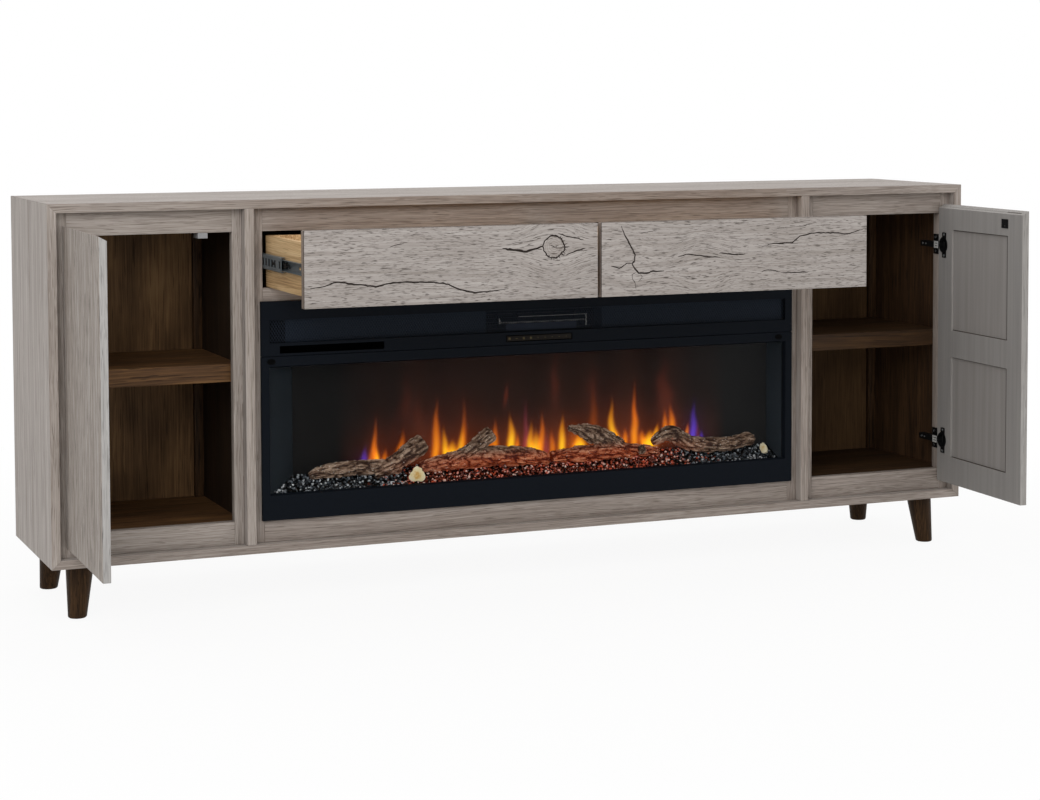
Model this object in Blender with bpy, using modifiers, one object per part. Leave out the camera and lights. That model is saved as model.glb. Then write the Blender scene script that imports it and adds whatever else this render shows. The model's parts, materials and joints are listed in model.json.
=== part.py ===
"""A low media console with two door bays, two drawers and an electric fireplace insert.

All lengths are in metres. X runs across the console, Y runs from front to back and Z is up.
The console is modelled with its doors swung open and its drawers pulled out. The origin is on
the floor, in the middle of that posture. Each door hangs from an empty on its hinge axis, and
each drawer and slide member from an empty that marks where it rides.
"""

import math

import bmesh
import bpy
from mathutils import Matrix, Vector

# General fits and counts
JOINT_GAP = 0.0003
OVERRUN = 0.004
WELD = 0.00001
EDGE_ROUND = 0.0008
FUSE_STEP = 0.0001
TURNED_SIDES = 28
SMALL_SIDES = 12
CUP_SIDES = 20

# Case
CASE_WIDTH = 2.108
CASE_HEIGHT = 0.7263
CASE_DEPTH = 0.393
PANEL_THICKNESS = 0.018
PARTITION_THICKNESS = 0.020
BAY_WIDTH = 0.3815
BACK_INSET = 0.0355
BACK_THICKNESS = 0.005
BACK_GROOVE_DEPTH = 0.006
SERVICE_MARGIN_SIDE = 0.130
SERVICE_MARGIN_END = 0.060
SERVICE_CORNER = 0.020

# Face frames, set back inside the case edge
FRAME_SETBACK = 0.0215
FRAME_THICKNESS = 0.020
TOP_RAIL_HEIGHT = 0.0478
BOTTOM_RAIL_HEIGHT = 0.0475
LATCH_STILE_WIDTH = 0.020
HINGE_STILE_WIDTH = 0.0235
HINGE_STILE_DEPTH = 0.028
CENTRE_STILE_WIDTH = 0.0228
CENTRE_BOTTOM_RAIL_HEIGHT = 0.0575
DRAWER_OPENING_HEIGHT = 0.1168
MIDDLE_RAIL_HEIGHT = 0.040

# Bay floors, shelves, drawer deck and divider
FLOOR_THICKNESS = 0.018
BEARER_WIDTH = 0.030
BEARER_INSET = 0.020
SHELF_RISE_SHARE = 0.542
SHELF_THICKNESS = 0.037
SHELF_SETBACK = 0.050
DECK_THICKNESS = 0.016
DIVIDER_THICKNESS = 0.018

# Turned legs
LEG_HEIGHT = 0.1094
LEG_TOP_DIAMETER = 0.0577
LEG_BOTTOM_DIAMETER = 0.0382
LEG_FOOT_ROUND = 0.004
LEG_SIDE_INSET = 0.0686
LEG_FRONT_INSET = 0.0646
LEG_REAR_INSET = 0.0550
LEG_SPLAY_SIDE = 0.0088
LEG_SPLAY_DEPTH = 0.0119

# Doors
DOOR_THICKNESS = 0.016
DOOR_SETBACK = 0.0015
DOOR_REVEAL = 0.0125
DOOR_LATCH_REVEAL = 0.010
DOOR_TOP_REVEAL = 0.0263
DOOR_BOTTOM_REVEAL = 0.0215
DOOR_STILE = 0.060
DOOR_TOP_RAIL = 0.057
DOOR_MIDDLE_RAIL = 0.061
DOOR_BOTTOM_RAIL = 0.061
DOOR_UPPER_PANEL_SHARE = 0.36
DOOR_RECESS = 0.005
DOOR_PULL_DROP = 0.009
LEFT_DOOR_OPEN_DEG = 90.94
RIGHT_DOOR_OPEN_DEG = 87.08

# Concealed hinges
HINGE_TOP_INSET = 0.094
HINGE_BOTTOM_INSET = 0.0962
HINGE_AXIS_INSET = 0.009
HINGE_AXIS_DEPTH = 0.0065
HINGE_CUP_DIAMETER = 0.035
HINGE_CUP_DEPTH = 0.0130
HINGE_CUP_EDGE = 0.005
HINGE_SHEET = 0.0008
HINGE_LIP = 0.0010
HINGE_LIP_OVERLAP = 0.0010
HINGE_WING_LENGTH = 0.058
HINGE_WING_WIDTH = 0.017
HINGE_WING_OFFSET = 0.004
HINGE_PIN_DIAMETER = 0.0018
HINGE_PIN_PLAY = 0.0001
HINGE_KNUCKLE_DIAMETER = 0.0038
HINGE_KNUCKLE_HEIGHT = 0.009
HINGE_LINK_THICKNESS = 0.002
HINGE_LINK_HEIGHT = 0.017
HINGE_SWEEP_CLEARANCE = 0.0007
HINGE_PLATE_THICKNESS = 0.002
HINGE_PLATE_HEIGHT = 0.046
HINGE_PLATE_DEPTH = 0.020
HINGE_PLATE_SETBACK = 0.004
HINGE_ARM_HEIGHT = 0.013
HINGE_ARM_LENGTH = 0.062
HINGE_ARM_WALL = 0.001
HINGE_SCREW_DIAMETER = 0.007
HINGE_SCREW_HEIGHT = 0.001
HINGE_SCREW_SPACING = 0.032

# Catches on the top rails and their strikes on the doors
STRIKE_WIDTH = 0.026
STRIKE_HEIGHT = 0.020
STRIKE_THICKNESS = 0.0012
STRIKE_FREE_INSET = 0.0585
STRIKE_TOP_INSET = 0.0205
STRIKE_HOLE_DIAMETER = 0.004
STRIKE_HOLE_RISE = 0.005
CATCH_WIDTH = 0.020
CATCH_HEIGHT = 0.011
CATCH_DEPTH = 0.034
CATCH_PLATE_THICKNESS = 0.002
CATCH_PLATE_HEIGHT = 0.030
CATCH_GAP = 0.0015

# Drawers
DRAWER_REVEAL = 0.0125
DRAWER_FRONT_THICKNESS = 0.018
DRAWER_FRONT_DROP = 0.0152
DRAWER_FRONT_RISE = 0.0190
DRAWER_FRONT_GAP = 0.008
DRAWER_SETBACK = 0.003
DRAWER_OVERTRAVEL = 0.003
DRAWER_BOX_BACK_CLEARANCE = 0.0112
DRAWER_BOX_TOP_CLEARANCE = 0.0095
DRAWER_BOX_LIFT = 0.0015
DRAWER_WALL = 0.012
DRAWER_BOTTOM_THICKNESS = 0.005
DRAWER_BOTTOM_RECESS = 0.008

# Telescopic slides
SLIDE_SPACE = 0.0127
SLIDE_BACK_CLEARANCE = 0.0075
SLIDE_SETBACK = 0.045
SLIDE_RISE = 0.0553
SLIDE_SHEET = 0.0012
CABINET_MEMBER_HEIGHT = 0.035
CABINET_MEMBER_FLANGE = 0.0085
MIDDLE_MEMBER_HEIGHT = 0.031
MIDDLE_MEMBER_FLANGE = 0.0085
MIDDLE_MEMBER_OFFSET = 0.0018
DRAWER_MEMBER_HEIGHT = 0.023
DRAWER_MEMBER_FLANGE = 0.0086
SLIDE_BEND_RADIUS = 0.002
SLIDE_SLOT_LENGTH = 0.016
SLIDE_SLOT_WIDTH = 0.006
SLIDE_SLOT_SPACING = 0.190

# Fireplace insert: front
INSERT_LAP_SIDE = 0.0063
INSERT_LAP_TOP = 0.0128
INSERT_LAP_BOTTOM = 0.0120
FASCIA_PROUD = 0.009
FASCIA_HEIGHT = 0.1134
SEAM_GAP = 0.0006
VENT_HEIGHT = 0.048
VENT_DROP = 0.0385
DISPLAY_WIDTH = 0.2264
DISPLAY_HEIGHT = 0.0155
DISPLAY_INSET = 0.0395
DISPLAY_LIFT = 0.0050
DISPLAY_RECESS = 0.003
CONTROL_WIDTH = 0.152
CONTROL_HEIGHT = 0.012
CONTROL_RECESS = 0.0012
GLASS_BORDER_SIDE = 0.018
GLASS_BORDER_TOP = 0.0215
GLASS_BORDER_BOTTOM = 0.0530
GLASS_BORDER_SLOPE = 0.003
GLASS_THICKNESS = 0.004
GLASS_LAP = 0.004

# Fireplace insert: grille
GRILLE_THICKNESS = 0.0010
GRILLE_LAP = 0.003
GRILLE_COLUMNS = 40
GRILLE_ROWS = 4
GRILLE_STRAND = 0.0035

# Fireplace insert: housing and works
HOUSING_DEPTH = 0.133
HOUSING_SHEET = 0.0015
HOUSING_SIDE_CLEARANCE = 0.010
HOUSING_END_CLEARANCE = 0.008
HOUSING_DIVIDER_SHEET = 0.002
HOUSING_LOUVRES = 9
HOUSING_LOUVRE_WIDTH = 0.060
HOUSING_LOUVRE_HEIGHT = 0.006
HOUSING_LOUVRE_SPACING = 0.085
CORD_INLET_DIAMETER = 0.012
CORD_INLET_INSET = 0.060
HEATER_WIDTH = 0.270
HEATER_HEIGHT = 0.040
HEATER_DEPTH = 0.030
HEATER_SHEET = 0.0015
HEATER_SETBACK = 0.006
HEATER_ROD_DIAMETER = 0.005
HEATER_ROD_SPACING = 0.014
HEATER_FINS = 5
HEATER_FIN_SHEET = 0.001
BRACKET_SHEET = 0.003
BRACKET_WIDTH = 0.030
BRACKET_GAP = 0.001
BLOWER_LENGTH = 0.260
BLOWER_DIAMETER = 0.036
BLOWER_BLADES = 12
BLOWER_BLADE_DEPTH = 0.006
BLOWER_BLADE_SHEET = 0.001
BLOWER_DISC_SHEET = 0.002
BLOWER_SHAFT_DIAMETER = 0.006
BLOWER_SETBACK = 0.085
BEARING_PLAY = 0.0003
MOTOR_DIAMETER = 0.034
MOTOR_LENGTH = 0.030
SCREEN_SETBACK = 0.072
SCREEN_THICKNESS = 0.002
SPINDLE_SETBACK = 0.095
SPINDLE_LIFT = 0.036
SPINDLE_DIAMETER = 0.006
SPINDLE_TABS = 15
SPINDLE_TAB_LENGTH = 0.013
SPINDLE_TAB_WIDTH = 0.016
SPINDLE_TAB_SHEET = 0.001
SPINDLE_TURN_DEG = 75.0

# Fireplace insert: ember bed and logs
BED_FRONT_RISE = 0.029
BED_BACK_RISE = 0.055
BED_DEPTH = 0.064
BED_SIDE_GAP = 0.004
BED_CROWN = 0.010
BED_SEGMENTS = 12
LOG_SIDES_RESOLUTION = 1
LOG_LIFT = 0.052
LOG_BACK = 0.040
# Each log runs between two points, across in shares of the reach and up in log radii.
LOG_REACH_SHARE = 0.40
LOG_RADIUS = 0.018
LOG_SHARES = (
    # start across, start up, end across, end up, radius share, depth share
    (-2.10, -0.10, -1.00, 0.45, 1.00, 0.20),
    (-1.42, 0.20, -0.99, 2.35, 0.80, -0.15),
    (-1.10, 0.30, 0.15, 0.50, 0.95, -0.25),
    (-0.78, 0.60, -0.38, 3.00, 0.75, 0.15),
    (0.05, 0.10, 1.40, 0.15, 1.05, 0.10),
    (0.98, 0.90, 0.44, 2.65, 0.70, 0.05),
    (1.28, 1.30, 1.90, -0.20, 0.85, 0.15),
    (1.75, -0.30, 2.32, 0.45, 0.90, 0.30),
)
LOG_WAIST_SHARE = 0.88


# Places worked out from the sizes above. Heights are above the floor.
CASE_BOTTOM = LEG_HEIGHT
CASE_TOP = CASE_BOTTOM + CASE_HEIGHT
CASE_HALF = CASE_WIDTH / 2
INNER_BOTTOM = CASE_BOTTOM + PANEL_THICKNESS
INNER_TOP = CASE_TOP - PANEL_THICKNESS
INNER_HALF = CASE_HALF - PANEL_THICKNESS
PARTITION_OUTER = INNER_HALF - BAY_WIDTH
PARTITION_INNER = PARTITION_OUTER - PARTITION_THICKNESS

DOOR_WIDTH = BAY_WIDTH - DOOR_REVEAL - DOOR_LATCH_REVEAL
DOOR_BOTTOM = INNER_BOTTOM + DOOR_BOTTOM_REVEAL
DOOR_TOP = INNER_TOP - DOOR_TOP_REVEAL
DOOR_UPPER_PANEL_HEIGHT = (DOOR_TOP - DOOR_BOTTOM) * DOOR_UPPER_PANEL_SHARE
STRIKE_EDGE = DOOR_WIDTH - STRIKE_FREE_INSET - STRIKE_WIDTH
HINGE_OFFSET = HINGE_AXIS_INSET + DOOR_REVEAL + PANEL_THICKNESS
HINGE_AXIS_X = CASE_HALF - HINGE_OFFSET
DOOR_FACE_FRONT = -HINGE_AXIS_DEPTH
DOOR_FACE_BACK = DOOR_THICKNESS - HINGE_AXIS_DEPTH
DOOR_FREE_EDGE = DOOR_WIDTH - HINGE_AXIS_INSET


def door_reach(open_deg):
    """How far an open door stands out in front of its hinge axis."""
    angle = math.radians(open_deg)
    corners = ((DOOR_FREE_EDGE, DOOR_FACE_FRONT), (DOOR_FREE_EDGE, DOOR_FACE_BACK))
    return max(across * math.sin(angle) - back * math.cos(angle) for across, back in corners)


DOOR_REACH = max(door_reach(LEFT_DOOR_OPEN_DEG), door_reach(RIGHT_DOOR_OPEN_DEG))
FORWARD_REACH = DOOR_REACH - DOOR_SETBACK - HINGE_AXIS_DEPTH
FRONT_Y = (FORWARD_REACH - CASE_DEPTH) / 2
REAR_Y = FRONT_Y + CASE_DEPTH
HINGE_AXIS_Y = FRONT_Y + DOOR_SETBACK + HINGE_AXIS_DEPTH

FRAME_FRONT = FRONT_Y + FRAME_SETBACK
FRAME_BACK = FRAME_FRONT + FRAME_THICKNESS
BACK_FACE = REAR_Y - BACK_INSET - BACK_THICKNESS
RAIL_UNDERSIDE = INNER_TOP - TOP_RAIL_HEIGHT
BAY_FLOOR = INNER_BOTTOM + BOTTOM_RAIL_HEIGHT
DRAWER_SILL = RAIL_UNDERSIDE - DRAWER_OPENING_HEIGHT
MIDDLE_RAIL_BOTTOM = DRAWER_SILL - MIDDLE_RAIL_HEIGHT
CENTRE_SILL = INNER_BOTTOM + CENTRE_BOTTOM_RAIL_HEIGHT
CENTRE_OPENING_HALF = PARTITION_INNER - CENTRE_STILE_WIDTH
SHELF_TOP = BAY_FLOOR + (RAIL_UNDERSIDE - BAY_FLOOR) * SHELF_RISE_SHARE
DECK_TOP = DRAWER_SILL - JOINT_GAP

DRAWER_FRONT_WIDTH = PARTITION_INNER - DRAWER_REVEAL - DRAWER_FRONT_GAP / 2
DRAWER_FRONT_HEIGHT = DRAWER_OPENING_HEIGHT + DRAWER_FRONT_DROP + DRAWER_FRONT_RISE
DRAWER_BOX_START = DRAWER_SETBACK + DRAWER_FRONT_THICKNESS + JOINT_GAP
DRAWER_BOX_DEPTH = BACK_FACE - FRONT_Y - DRAWER_BOX_START - DRAWER_BOX_BACK_CLEARANCE
DRAWER_BOX_HEIGHT = DRAWER_OPENING_HEIGHT - DRAWER_BOX_LIFT - DRAWER_BOX_TOP_CLEARANCE
SLIDE_LENGTH = BACK_FACE - FRONT_Y - SLIDE_SETBACK - SLIDE_BACK_CLEARANCE
DRAWER_TRAVEL = SLIDE_LENGTH + DRAWER_OVERTRAVEL

INSERT_BOTTOM = CENTRE_SILL - INSERT_LAP_BOTTOM
INSERT_TOP = MIDDLE_RAIL_BOTTOM + INSERT_LAP_TOP
INSERT_HALF = CENTRE_OPENING_HALF + INSERT_LAP_SIDE
FASCIA_FRONT = FRAME_FRONT - FASCIA_PROUD
FASCIA_BACK = FRAME_FRONT - JOINT_GAP
FASCIA_BOTTOM = INSERT_TOP - FASCIA_HEIGHT
GLASS_FRAME_TOP = FASCIA_BOTTOM - SEAM_GAP
GLASS_HALF = INSERT_HALF - GLASS_BORDER_SIDE
GLASS_BOTTOM = INSERT_BOTTOM + GLASS_BORDER_BOTTOM
GLASS_TOP = GLASS_FRAME_TOP - GLASS_BORDER_TOP
HOUSING_HALF = CENTRE_OPENING_HALF - HOUSING_SIDE_CLEARANCE
HOUSING_BOTTOM = CENTRE_SILL + HOUSING_END_CLEARANCE
HOUSING_TOP = MIDDLE_RAIL_BOTTOM - HOUSING_END_CLEARANCE
HOUSING_FRONT = FASCIA_BACK + JOINT_GAP
HOUSING_BACK = HOUSING_FRONT + HOUSING_DEPTH
FIREBOX_HALF = HOUSING_HALF - HOUSING_SHEET - JOINT_GAP
FIREBOX_FLOOR = HOUSING_BOTTOM + HOUSING_SHEET + JOINT_GAP
DIVIDER_BOTTOM = FASCIA_BOTTOM - HOUSING_DIVIDER_SHEET
FIREBOX_CEILING = DIVIDER_BOTTOM - JOINT_GAP
WORKS_FLOOR = DIVIDER_BOTTOM + HOUSING_DIVIDER_SHEET + JOINT_GAP
WORKS_CEILING = HOUSING_TOP - HOUSING_SHEET - JOINT_GAP
WORKS_MIDDLE = (WORKS_FLOOR + WORKS_CEILING) / 2
LOG_REACH = FIREBOX_HALF * LOG_REACH_SHARE
VENT_WIDTH = 2 * GLASS_HALF
VENT_TOP = INSERT_TOP - VENT_DROP
VENT_BOTTOM = VENT_TOP - VENT_HEIGHT

PARTS = None
CUTTERS = None
FINISHES = {}


# Scene and material helpers


def clear_scene():
    """Remove what the scene holds, then make the two collections."""
    global PARTS, CUTTERS
    for old in list(bpy.data.objects):
        bpy.data.objects.remove(old, do_unlink=True)
    PARTS = bpy.data.collections.new("media_console")
    CUTTERS = bpy.data.collections.new("media_console_cutters")
    for group in (PARTS, CUTTERS):
        bpy.context.scene.collection.children.link(group)


def finish(name, colour, roughness, metallic=0.0, alpha=1.0):
    """Return the Principled material of that name, made on first use."""
    if name in FINISHES:
        return FINISHES[name]
    made = bpy.data.materials.new(name)
    made.use_nodes = True
    shader = made.node_tree.nodes["Principled BSDF"]
    shader.inputs["Base Color"].default_value = (*colour, 1.0)
    shader.inputs["Roughness"].default_value = roughness
    shader.inputs["Metallic"].default_value = metallic
    shader.inputs["Alpha"].default_value = alpha
    FINISHES[name] = made
    return made


def weathered_oak():
    return finish("weathered_oak", (0.36, 0.32, 0.28), 0.62)


def weathered_front():
    return finish("weathered_front", (0.40, 0.36, 0.32), 0.60)


def dark_walnut():
    return finish("dark_walnut", (0.055, 0.030, 0.016), 0.55)


def leg_stain():
    return finish("leg_stain", (0.030, 0.018, 0.011), 0.45)


def drawer_pine():
    return finish("drawer_pine", (0.56, 0.38, 0.20), 0.60)


def slide_steel():
    return finish("slide_steel", (0.42, 0.42, 0.41), 0.35, metallic=1.0)


def black_steel():
    return finish("black_steel", (0.012, 0.014, 0.018), 0.42, metallic=0.6)


def insert_enamel():
    return finish("insert_enamel", (0.012, 0.017, 0.023), 0.38)


def add_part(obj, name, surface, parent=None):
    """Put an object in the console under its own name and finish."""
    obj.name = name
    obj.data.name = name
    obj.data.materials.clear()
    obj.data.materials.append(surface)
    obj.parent = parent
    PARTS.objects.link(obj)
    return obj


def add_cutter(obj, parent=None):
    """Keep an object as a tool for a Boolean: it isn't a part."""
    obj.parent = parent
    obj.hide_render = True
    obj.display_type = "WIRE"
    CUTTERS.objects.link(obj)
    return obj


def boolean(obj, tool, operation):
    """Add an exact Boolean between an object and a tool."""
    step = obj.modifiers.new(operation.title(), "BOOLEAN")
    step.operation = operation
    step.solver = "EXACT"
    step.object = tool


def cut(obj, tool, parent=None):
    boolean(obj, add_cutter(tool, parent), "DIFFERENCE")


def join(obj, tool, parent=None):
    boolean(obj, add_cutter(tool, parent), "UNION")


def round_edges(obj, width=EDGE_ROUND, segments=1):
    """Ease the sharp edges with a Bevel."""
    step = obj.modifiers.new("Eased edges", "BEVEL")
    step.width = width
    step.segments = segments
    step.limit_method = "ANGLE"
    step.angle_limit = math.radians(40)
    return obj


def empty(name, location, turn=0.0):
    """A parent empty on a joint's axis."""
    marker = bpy.data.objects.new(name, None)
    marker.location = location
    marker.rotation_euler = (0, 0, turn)
    PARTS.objects.link(marker)
    return marker


# Shape helpers


def from_bmesh(name, shape):
    """Make an object, not yet in a collection, from a bmesh."""
    mesh = bpy.data.meshes.new(name)
    shape.to_mesh(mesh)
    shape.free()
    return bpy.data.objects.new(name, mesh)


def block(low, high, name="block"):
    """A box between two corners, centred on its own origin."""
    shape = bmesh.new()
    bmesh.ops.create_cube(shape, size=1)
    spans = [abs(end - start) for start, end in zip(low, high)]
    bmesh.ops.scale(shape, vec=spans, verts=shape.verts)
    obj = from_bmesh(name, shape)
    obj.location = (Vector(low) + Vector(high)) / 2
    return obj


def cylinder(radius, length, centre, axis="Z", sides=TURNED_SIDES, name="cylinder"):
    """A capped cylinder about a centre, along one axis."""
    shape = bmesh.new()
    bmesh.ops.create_cone(
        shape, cap_ends=True, segments=sides, radius1=radius, radius2=radius, depth=length
    )
    turns = {"X": Matrix.Rotation(math.radians(90), 4, "Y"), "Z": Matrix.Identity(4)}
    turns["Y"] = Matrix.Rotation(math.radians(90), 4, "X")
    bmesh.ops.transform(shape, matrix=turns[axis], verts=shape.verts)
    for face in shape.faces:
        face.smooth = len(face.verts) == 4
    obj = from_bmesh(name, shape)
    obj.location = centre
    return obj


def curve_to_mesh(curve_object, name):
    """Turn a curve object into a mesh object with its caps welded."""
    CUTTERS.objects.link(curve_object)
    bpy.context.view_layer.update()
    graph = bpy.context.evaluated_depsgraph_get()
    mesh = bpy.data.meshes.new_from_object(curve_object.evaluated_get(graph))
    place = curve_object.matrix_world.copy()
    bpy.data.objects.remove(curve_object, do_unlink=True)
    shape = bmesh.new()
    shape.from_mesh(mesh)
    bmesh.ops.remove_doubles(shape, verts=shape.verts, dist=WELD)
    bmesh.ops.recalc_face_normals(shape, faces=shape.faces)
    shape.to_mesh(mesh)
    shape.free()
    obj = bpy.data.objects.new(name, mesh)
    obj.matrix_world = place
    return obj


def flat_curve(points, half_width, closed):
    """A 2D curve through points, extruded each way by half a width."""
    curve = bpy.data.curves.new("outline", "CURVE")
    curve.dimensions = "2D"
    curve.fill_mode = "BOTH" if closed else "NONE"
    curve.extrude = half_width
    spline = curve.splines.new("POLY")
    spline.points.add(len(points) - 1)
    for knot, (across, up) in zip(spline.points, points):
        knot.co = (across, up, 0, 1)
    spline.use_cyclic_u = closed
    return bpy.data.objects.new("outline", curve)


def plan_solid(points, height, location, name="plan"):
    """A plan outline in X and Y, as a solid of a height about a location."""
    curve = flat_curve(points, height / 2, closed=True)
    curve.location = location
    return curve_to_mesh(curve, name)


def front_solid(points, depth, location, name="front"):
    """A front outline in X and Z, as a solid of a depth about a location."""
    curve = flat_curve(points, depth / 2, closed=True)
    curve.location = location
    curve.rotation_euler = (math.radians(90), 0, 0)
    return curve_to_mesh(curve, name)


def front_ribbon(points, length, location, name="ribbon"):
    """An open section in X and Z, drawn out along Y as a surface."""
    curve = flat_curve(points, length / 2, closed=False)
    curve.location = location
    curve.rotation_euler = (math.radians(90), 0, 0)
    return curve_to_mesh(curve, name)


def turned(profile, name, steps=TURNED_SIDES):
    """A turned shape about Z: the profile runs down its outer side."""
    shape = bmesh.new()
    points = [shape.verts.new((radius, 0, height)) for radius, height in profile]
    for upper, lower in zip(points, points[1:]):
        shape.edges.new((upper, lower))
    obj = from_bmesh(name, shape)
    screw = obj.modifiers.new("Turn", "SCREW")
    screw.axis = "Z"
    screw.angle = math.radians(360)
    screw.steps = steps
    screw.render_steps = steps
    screw.use_merge_vertices = True
    screw.merge_threshold = WELD
    screw.use_smooth_shade = True
    return obj


def arc(centre, radius, start_deg, end_deg, count):
    """Points along an arc, ends included."""
    angles = [start_deg + (end_deg - start_deg) * step / count for step in range(count + 1)]
    return [
        (
            centre[0] + radius * math.cos(math.radians(angle)),
            centre[1] + radius * math.sin(math.radians(angle)),
        )
        for angle in angles
    ]


def slot_tool(length, width, wall, centre):
    """An obround tool through a wall that faces X, long in Y."""
    half = (length - width) / 2
    ends = arc((half, 0), width / 2, -90, 90, 4) + arc((-half, 0), width / 2, 90, 270, 4)
    tool = front_solid(ends, wall + 2 * OVERRUN, (0, 0, 0), "slot")
    tool.rotation_euler = (math.radians(90), 0, math.radians(90))
    tool.location = centre
    return tool


# Case


def mitred_slab(low, high, toward_case, name):
    """A horizontal case panel whose two ends are mitred.

    toward_case is 1 where the case's inside is above the panel, and -1 where it is below.
    """
    outer, inner = (low, high) if toward_case > 0 else (high, low)
    points = [
        (-CASE_HALF, outer),
        (CASE_HALF, outer),
        (INNER_HALF, inner),
        (-INNER_HALF, inner),
    ]
    middle = (FRONT_Y + REAR_Y) / 2
    return front_solid(points, CASE_DEPTH, (0, middle, 0), name)


def side_slab(side, name):
    """A side panel, mitred to the top and the base."""
    mitre_gap = JOINT_GAP * math.sqrt(2)
    points = [
        (side * CASE_HALF, CASE_BOTTOM + mitre_gap),
        (side * CASE_HALF, CASE_TOP - mitre_gap),
        (side * INNER_HALF, INNER_TOP - mitre_gap),
        (side * INNER_HALF, INNER_BOTTOM + mitre_gap),
    ]
    middle = (FRONT_Y + REAR_Y) / 2
    return front_solid(points, CASE_DEPTH, (0, middle, 0), name)


def build_case():
    """Top, base, sides, partitions and the back panel in its grooves."""
    reach = BACK_GROOVE_DEPTH - JOINT_GAP
    back_low = (-INNER_HALF - reach, BACK_FACE, INNER_BOTTOM - reach)
    back_high = (INNER_HALF + reach, BACK_FACE + BACK_THICKNESS, INNER_TOP + reach)
    gap = Vector((JOINT_GAP, JOINT_GAP, JOINT_GAP))
    groove = add_cutter(block(Vector(back_low) - gap, Vector(back_high) + gap, "back_groove"))

    panels = {
        "top_panel": mitred_slab(INNER_TOP, CASE_TOP, -1, "top"),
        "base_panel": mitred_slab(CASE_BOTTOM, INNER_BOTTOM, 1, "base"),
        "left_side_panel": side_slab(-1, "side"),
        "right_side_panel": side_slab(1, "side"),
    }
    for name, panel in panels.items():
        add_part(panel, name, weathered_oak())
        boolean(panel, groove, "DIFFERENCE")

    for name, side in (("left_partition", -1), ("right_partition", 1)):
        low = (side * PARTITION_INNER, FRONT_Y, INNER_BOTTOM + JOINT_GAP)
        high = (side * PARTITION_OUTER, BACK_FACE - JOINT_GAP, INNER_TOP - JOINT_GAP)
        add_part(round_edges(block(low, high)), name, weathered_oak())

    back = add_part(block(back_low, back_high), "back_panel", dark_walnut())
    half = PARTITION_INNER - SERVICE_MARGIN_SIDE
    bottom = INNER_BOTTOM + SERVICE_MARGIN_END
    top = DECK_TOP - DECK_THICKNESS - SERVICE_MARGIN_END
    middle = (bottom + top) / 2
    service = front_solid(
        rounded_rectangle(half, (top - bottom) / 2, SERVICE_CORNER),
        BACK_THICKNESS + 2 * OVERRUN,
        (0, BACK_FACE + BACK_THICKNESS / 2, middle),
    )
    cut(back, service)


def rounded_rectangle(half_width, half_height, radius):
    """The outline of a rectangle with round corners, about its centre."""
    points = []
    for right, up, start in ((1, 1, 0), (-1, 1, 90), (-1, -1, 180), (1, -1, 270)):
        centre = (right * (half_width - radius), up * (half_height - radius))
        points += arc(centre, radius, start, start + 90, 4)
    return points


def build_frames():
    """The face frames: two bays with a deep hinge stile, and the centre."""
    bottom = INNER_BOTTOM + JOINT_GAP
    top = INNER_TOP - JOINT_GAP
    for name, side in (("left_bay_frame", -1), ("right_bay_frame", 1)):
        outer = side * (INNER_HALF - JOINT_GAP)
        inner = side * (PARTITION_OUTER + JOINT_GAP)
        frame = block((outer, FRAME_FRONT, bottom), (inner, FRAME_BACK, top))
        opening_outer = side * (INNER_HALF - HINGE_STILE_WIDTH)
        opening_inner = side * (PARTITION_OUTER + LATCH_STILE_WIDTH)
        cut(
            frame,
            block(
                (opening_outer, FRAME_FRONT - OVERRUN, BAY_FLOOR),
                (opening_inner, FRAME_BACK + OVERRUN, RAIL_UNDERSIDE),
            ),
        )
        backing = block(
            (outer - side * FUSE_STEP, FRAME_BACK - OVERRUN, bottom + FUSE_STEP),
            (opening_outer, FRAME_FRONT + HINGE_STILE_DEPTH, RAIL_UNDERSIDE + OVERRUN),
        )
        join(frame, backing)
        add_part(frame, name, weathered_oak())

    half = PARTITION_INNER - JOINT_GAP
    frame = block((-half, FRAME_FRONT, bottom), (half, FRAME_BACK, top))
    for low, high in ((DRAWER_SILL, RAIL_UNDERSIDE), (CENTRE_SILL, MIDDLE_RAIL_BOTTOM)):
        cut(
            frame,
            block(
                (-CENTRE_OPENING_HALF, FRAME_FRONT - OVERRUN, low),
                (CENTRE_OPENING_HALF, FRAME_BACK + OVERRUN, high),
            ),
        )
    add_part(frame, "centre_frame", weathered_oak())


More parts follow.
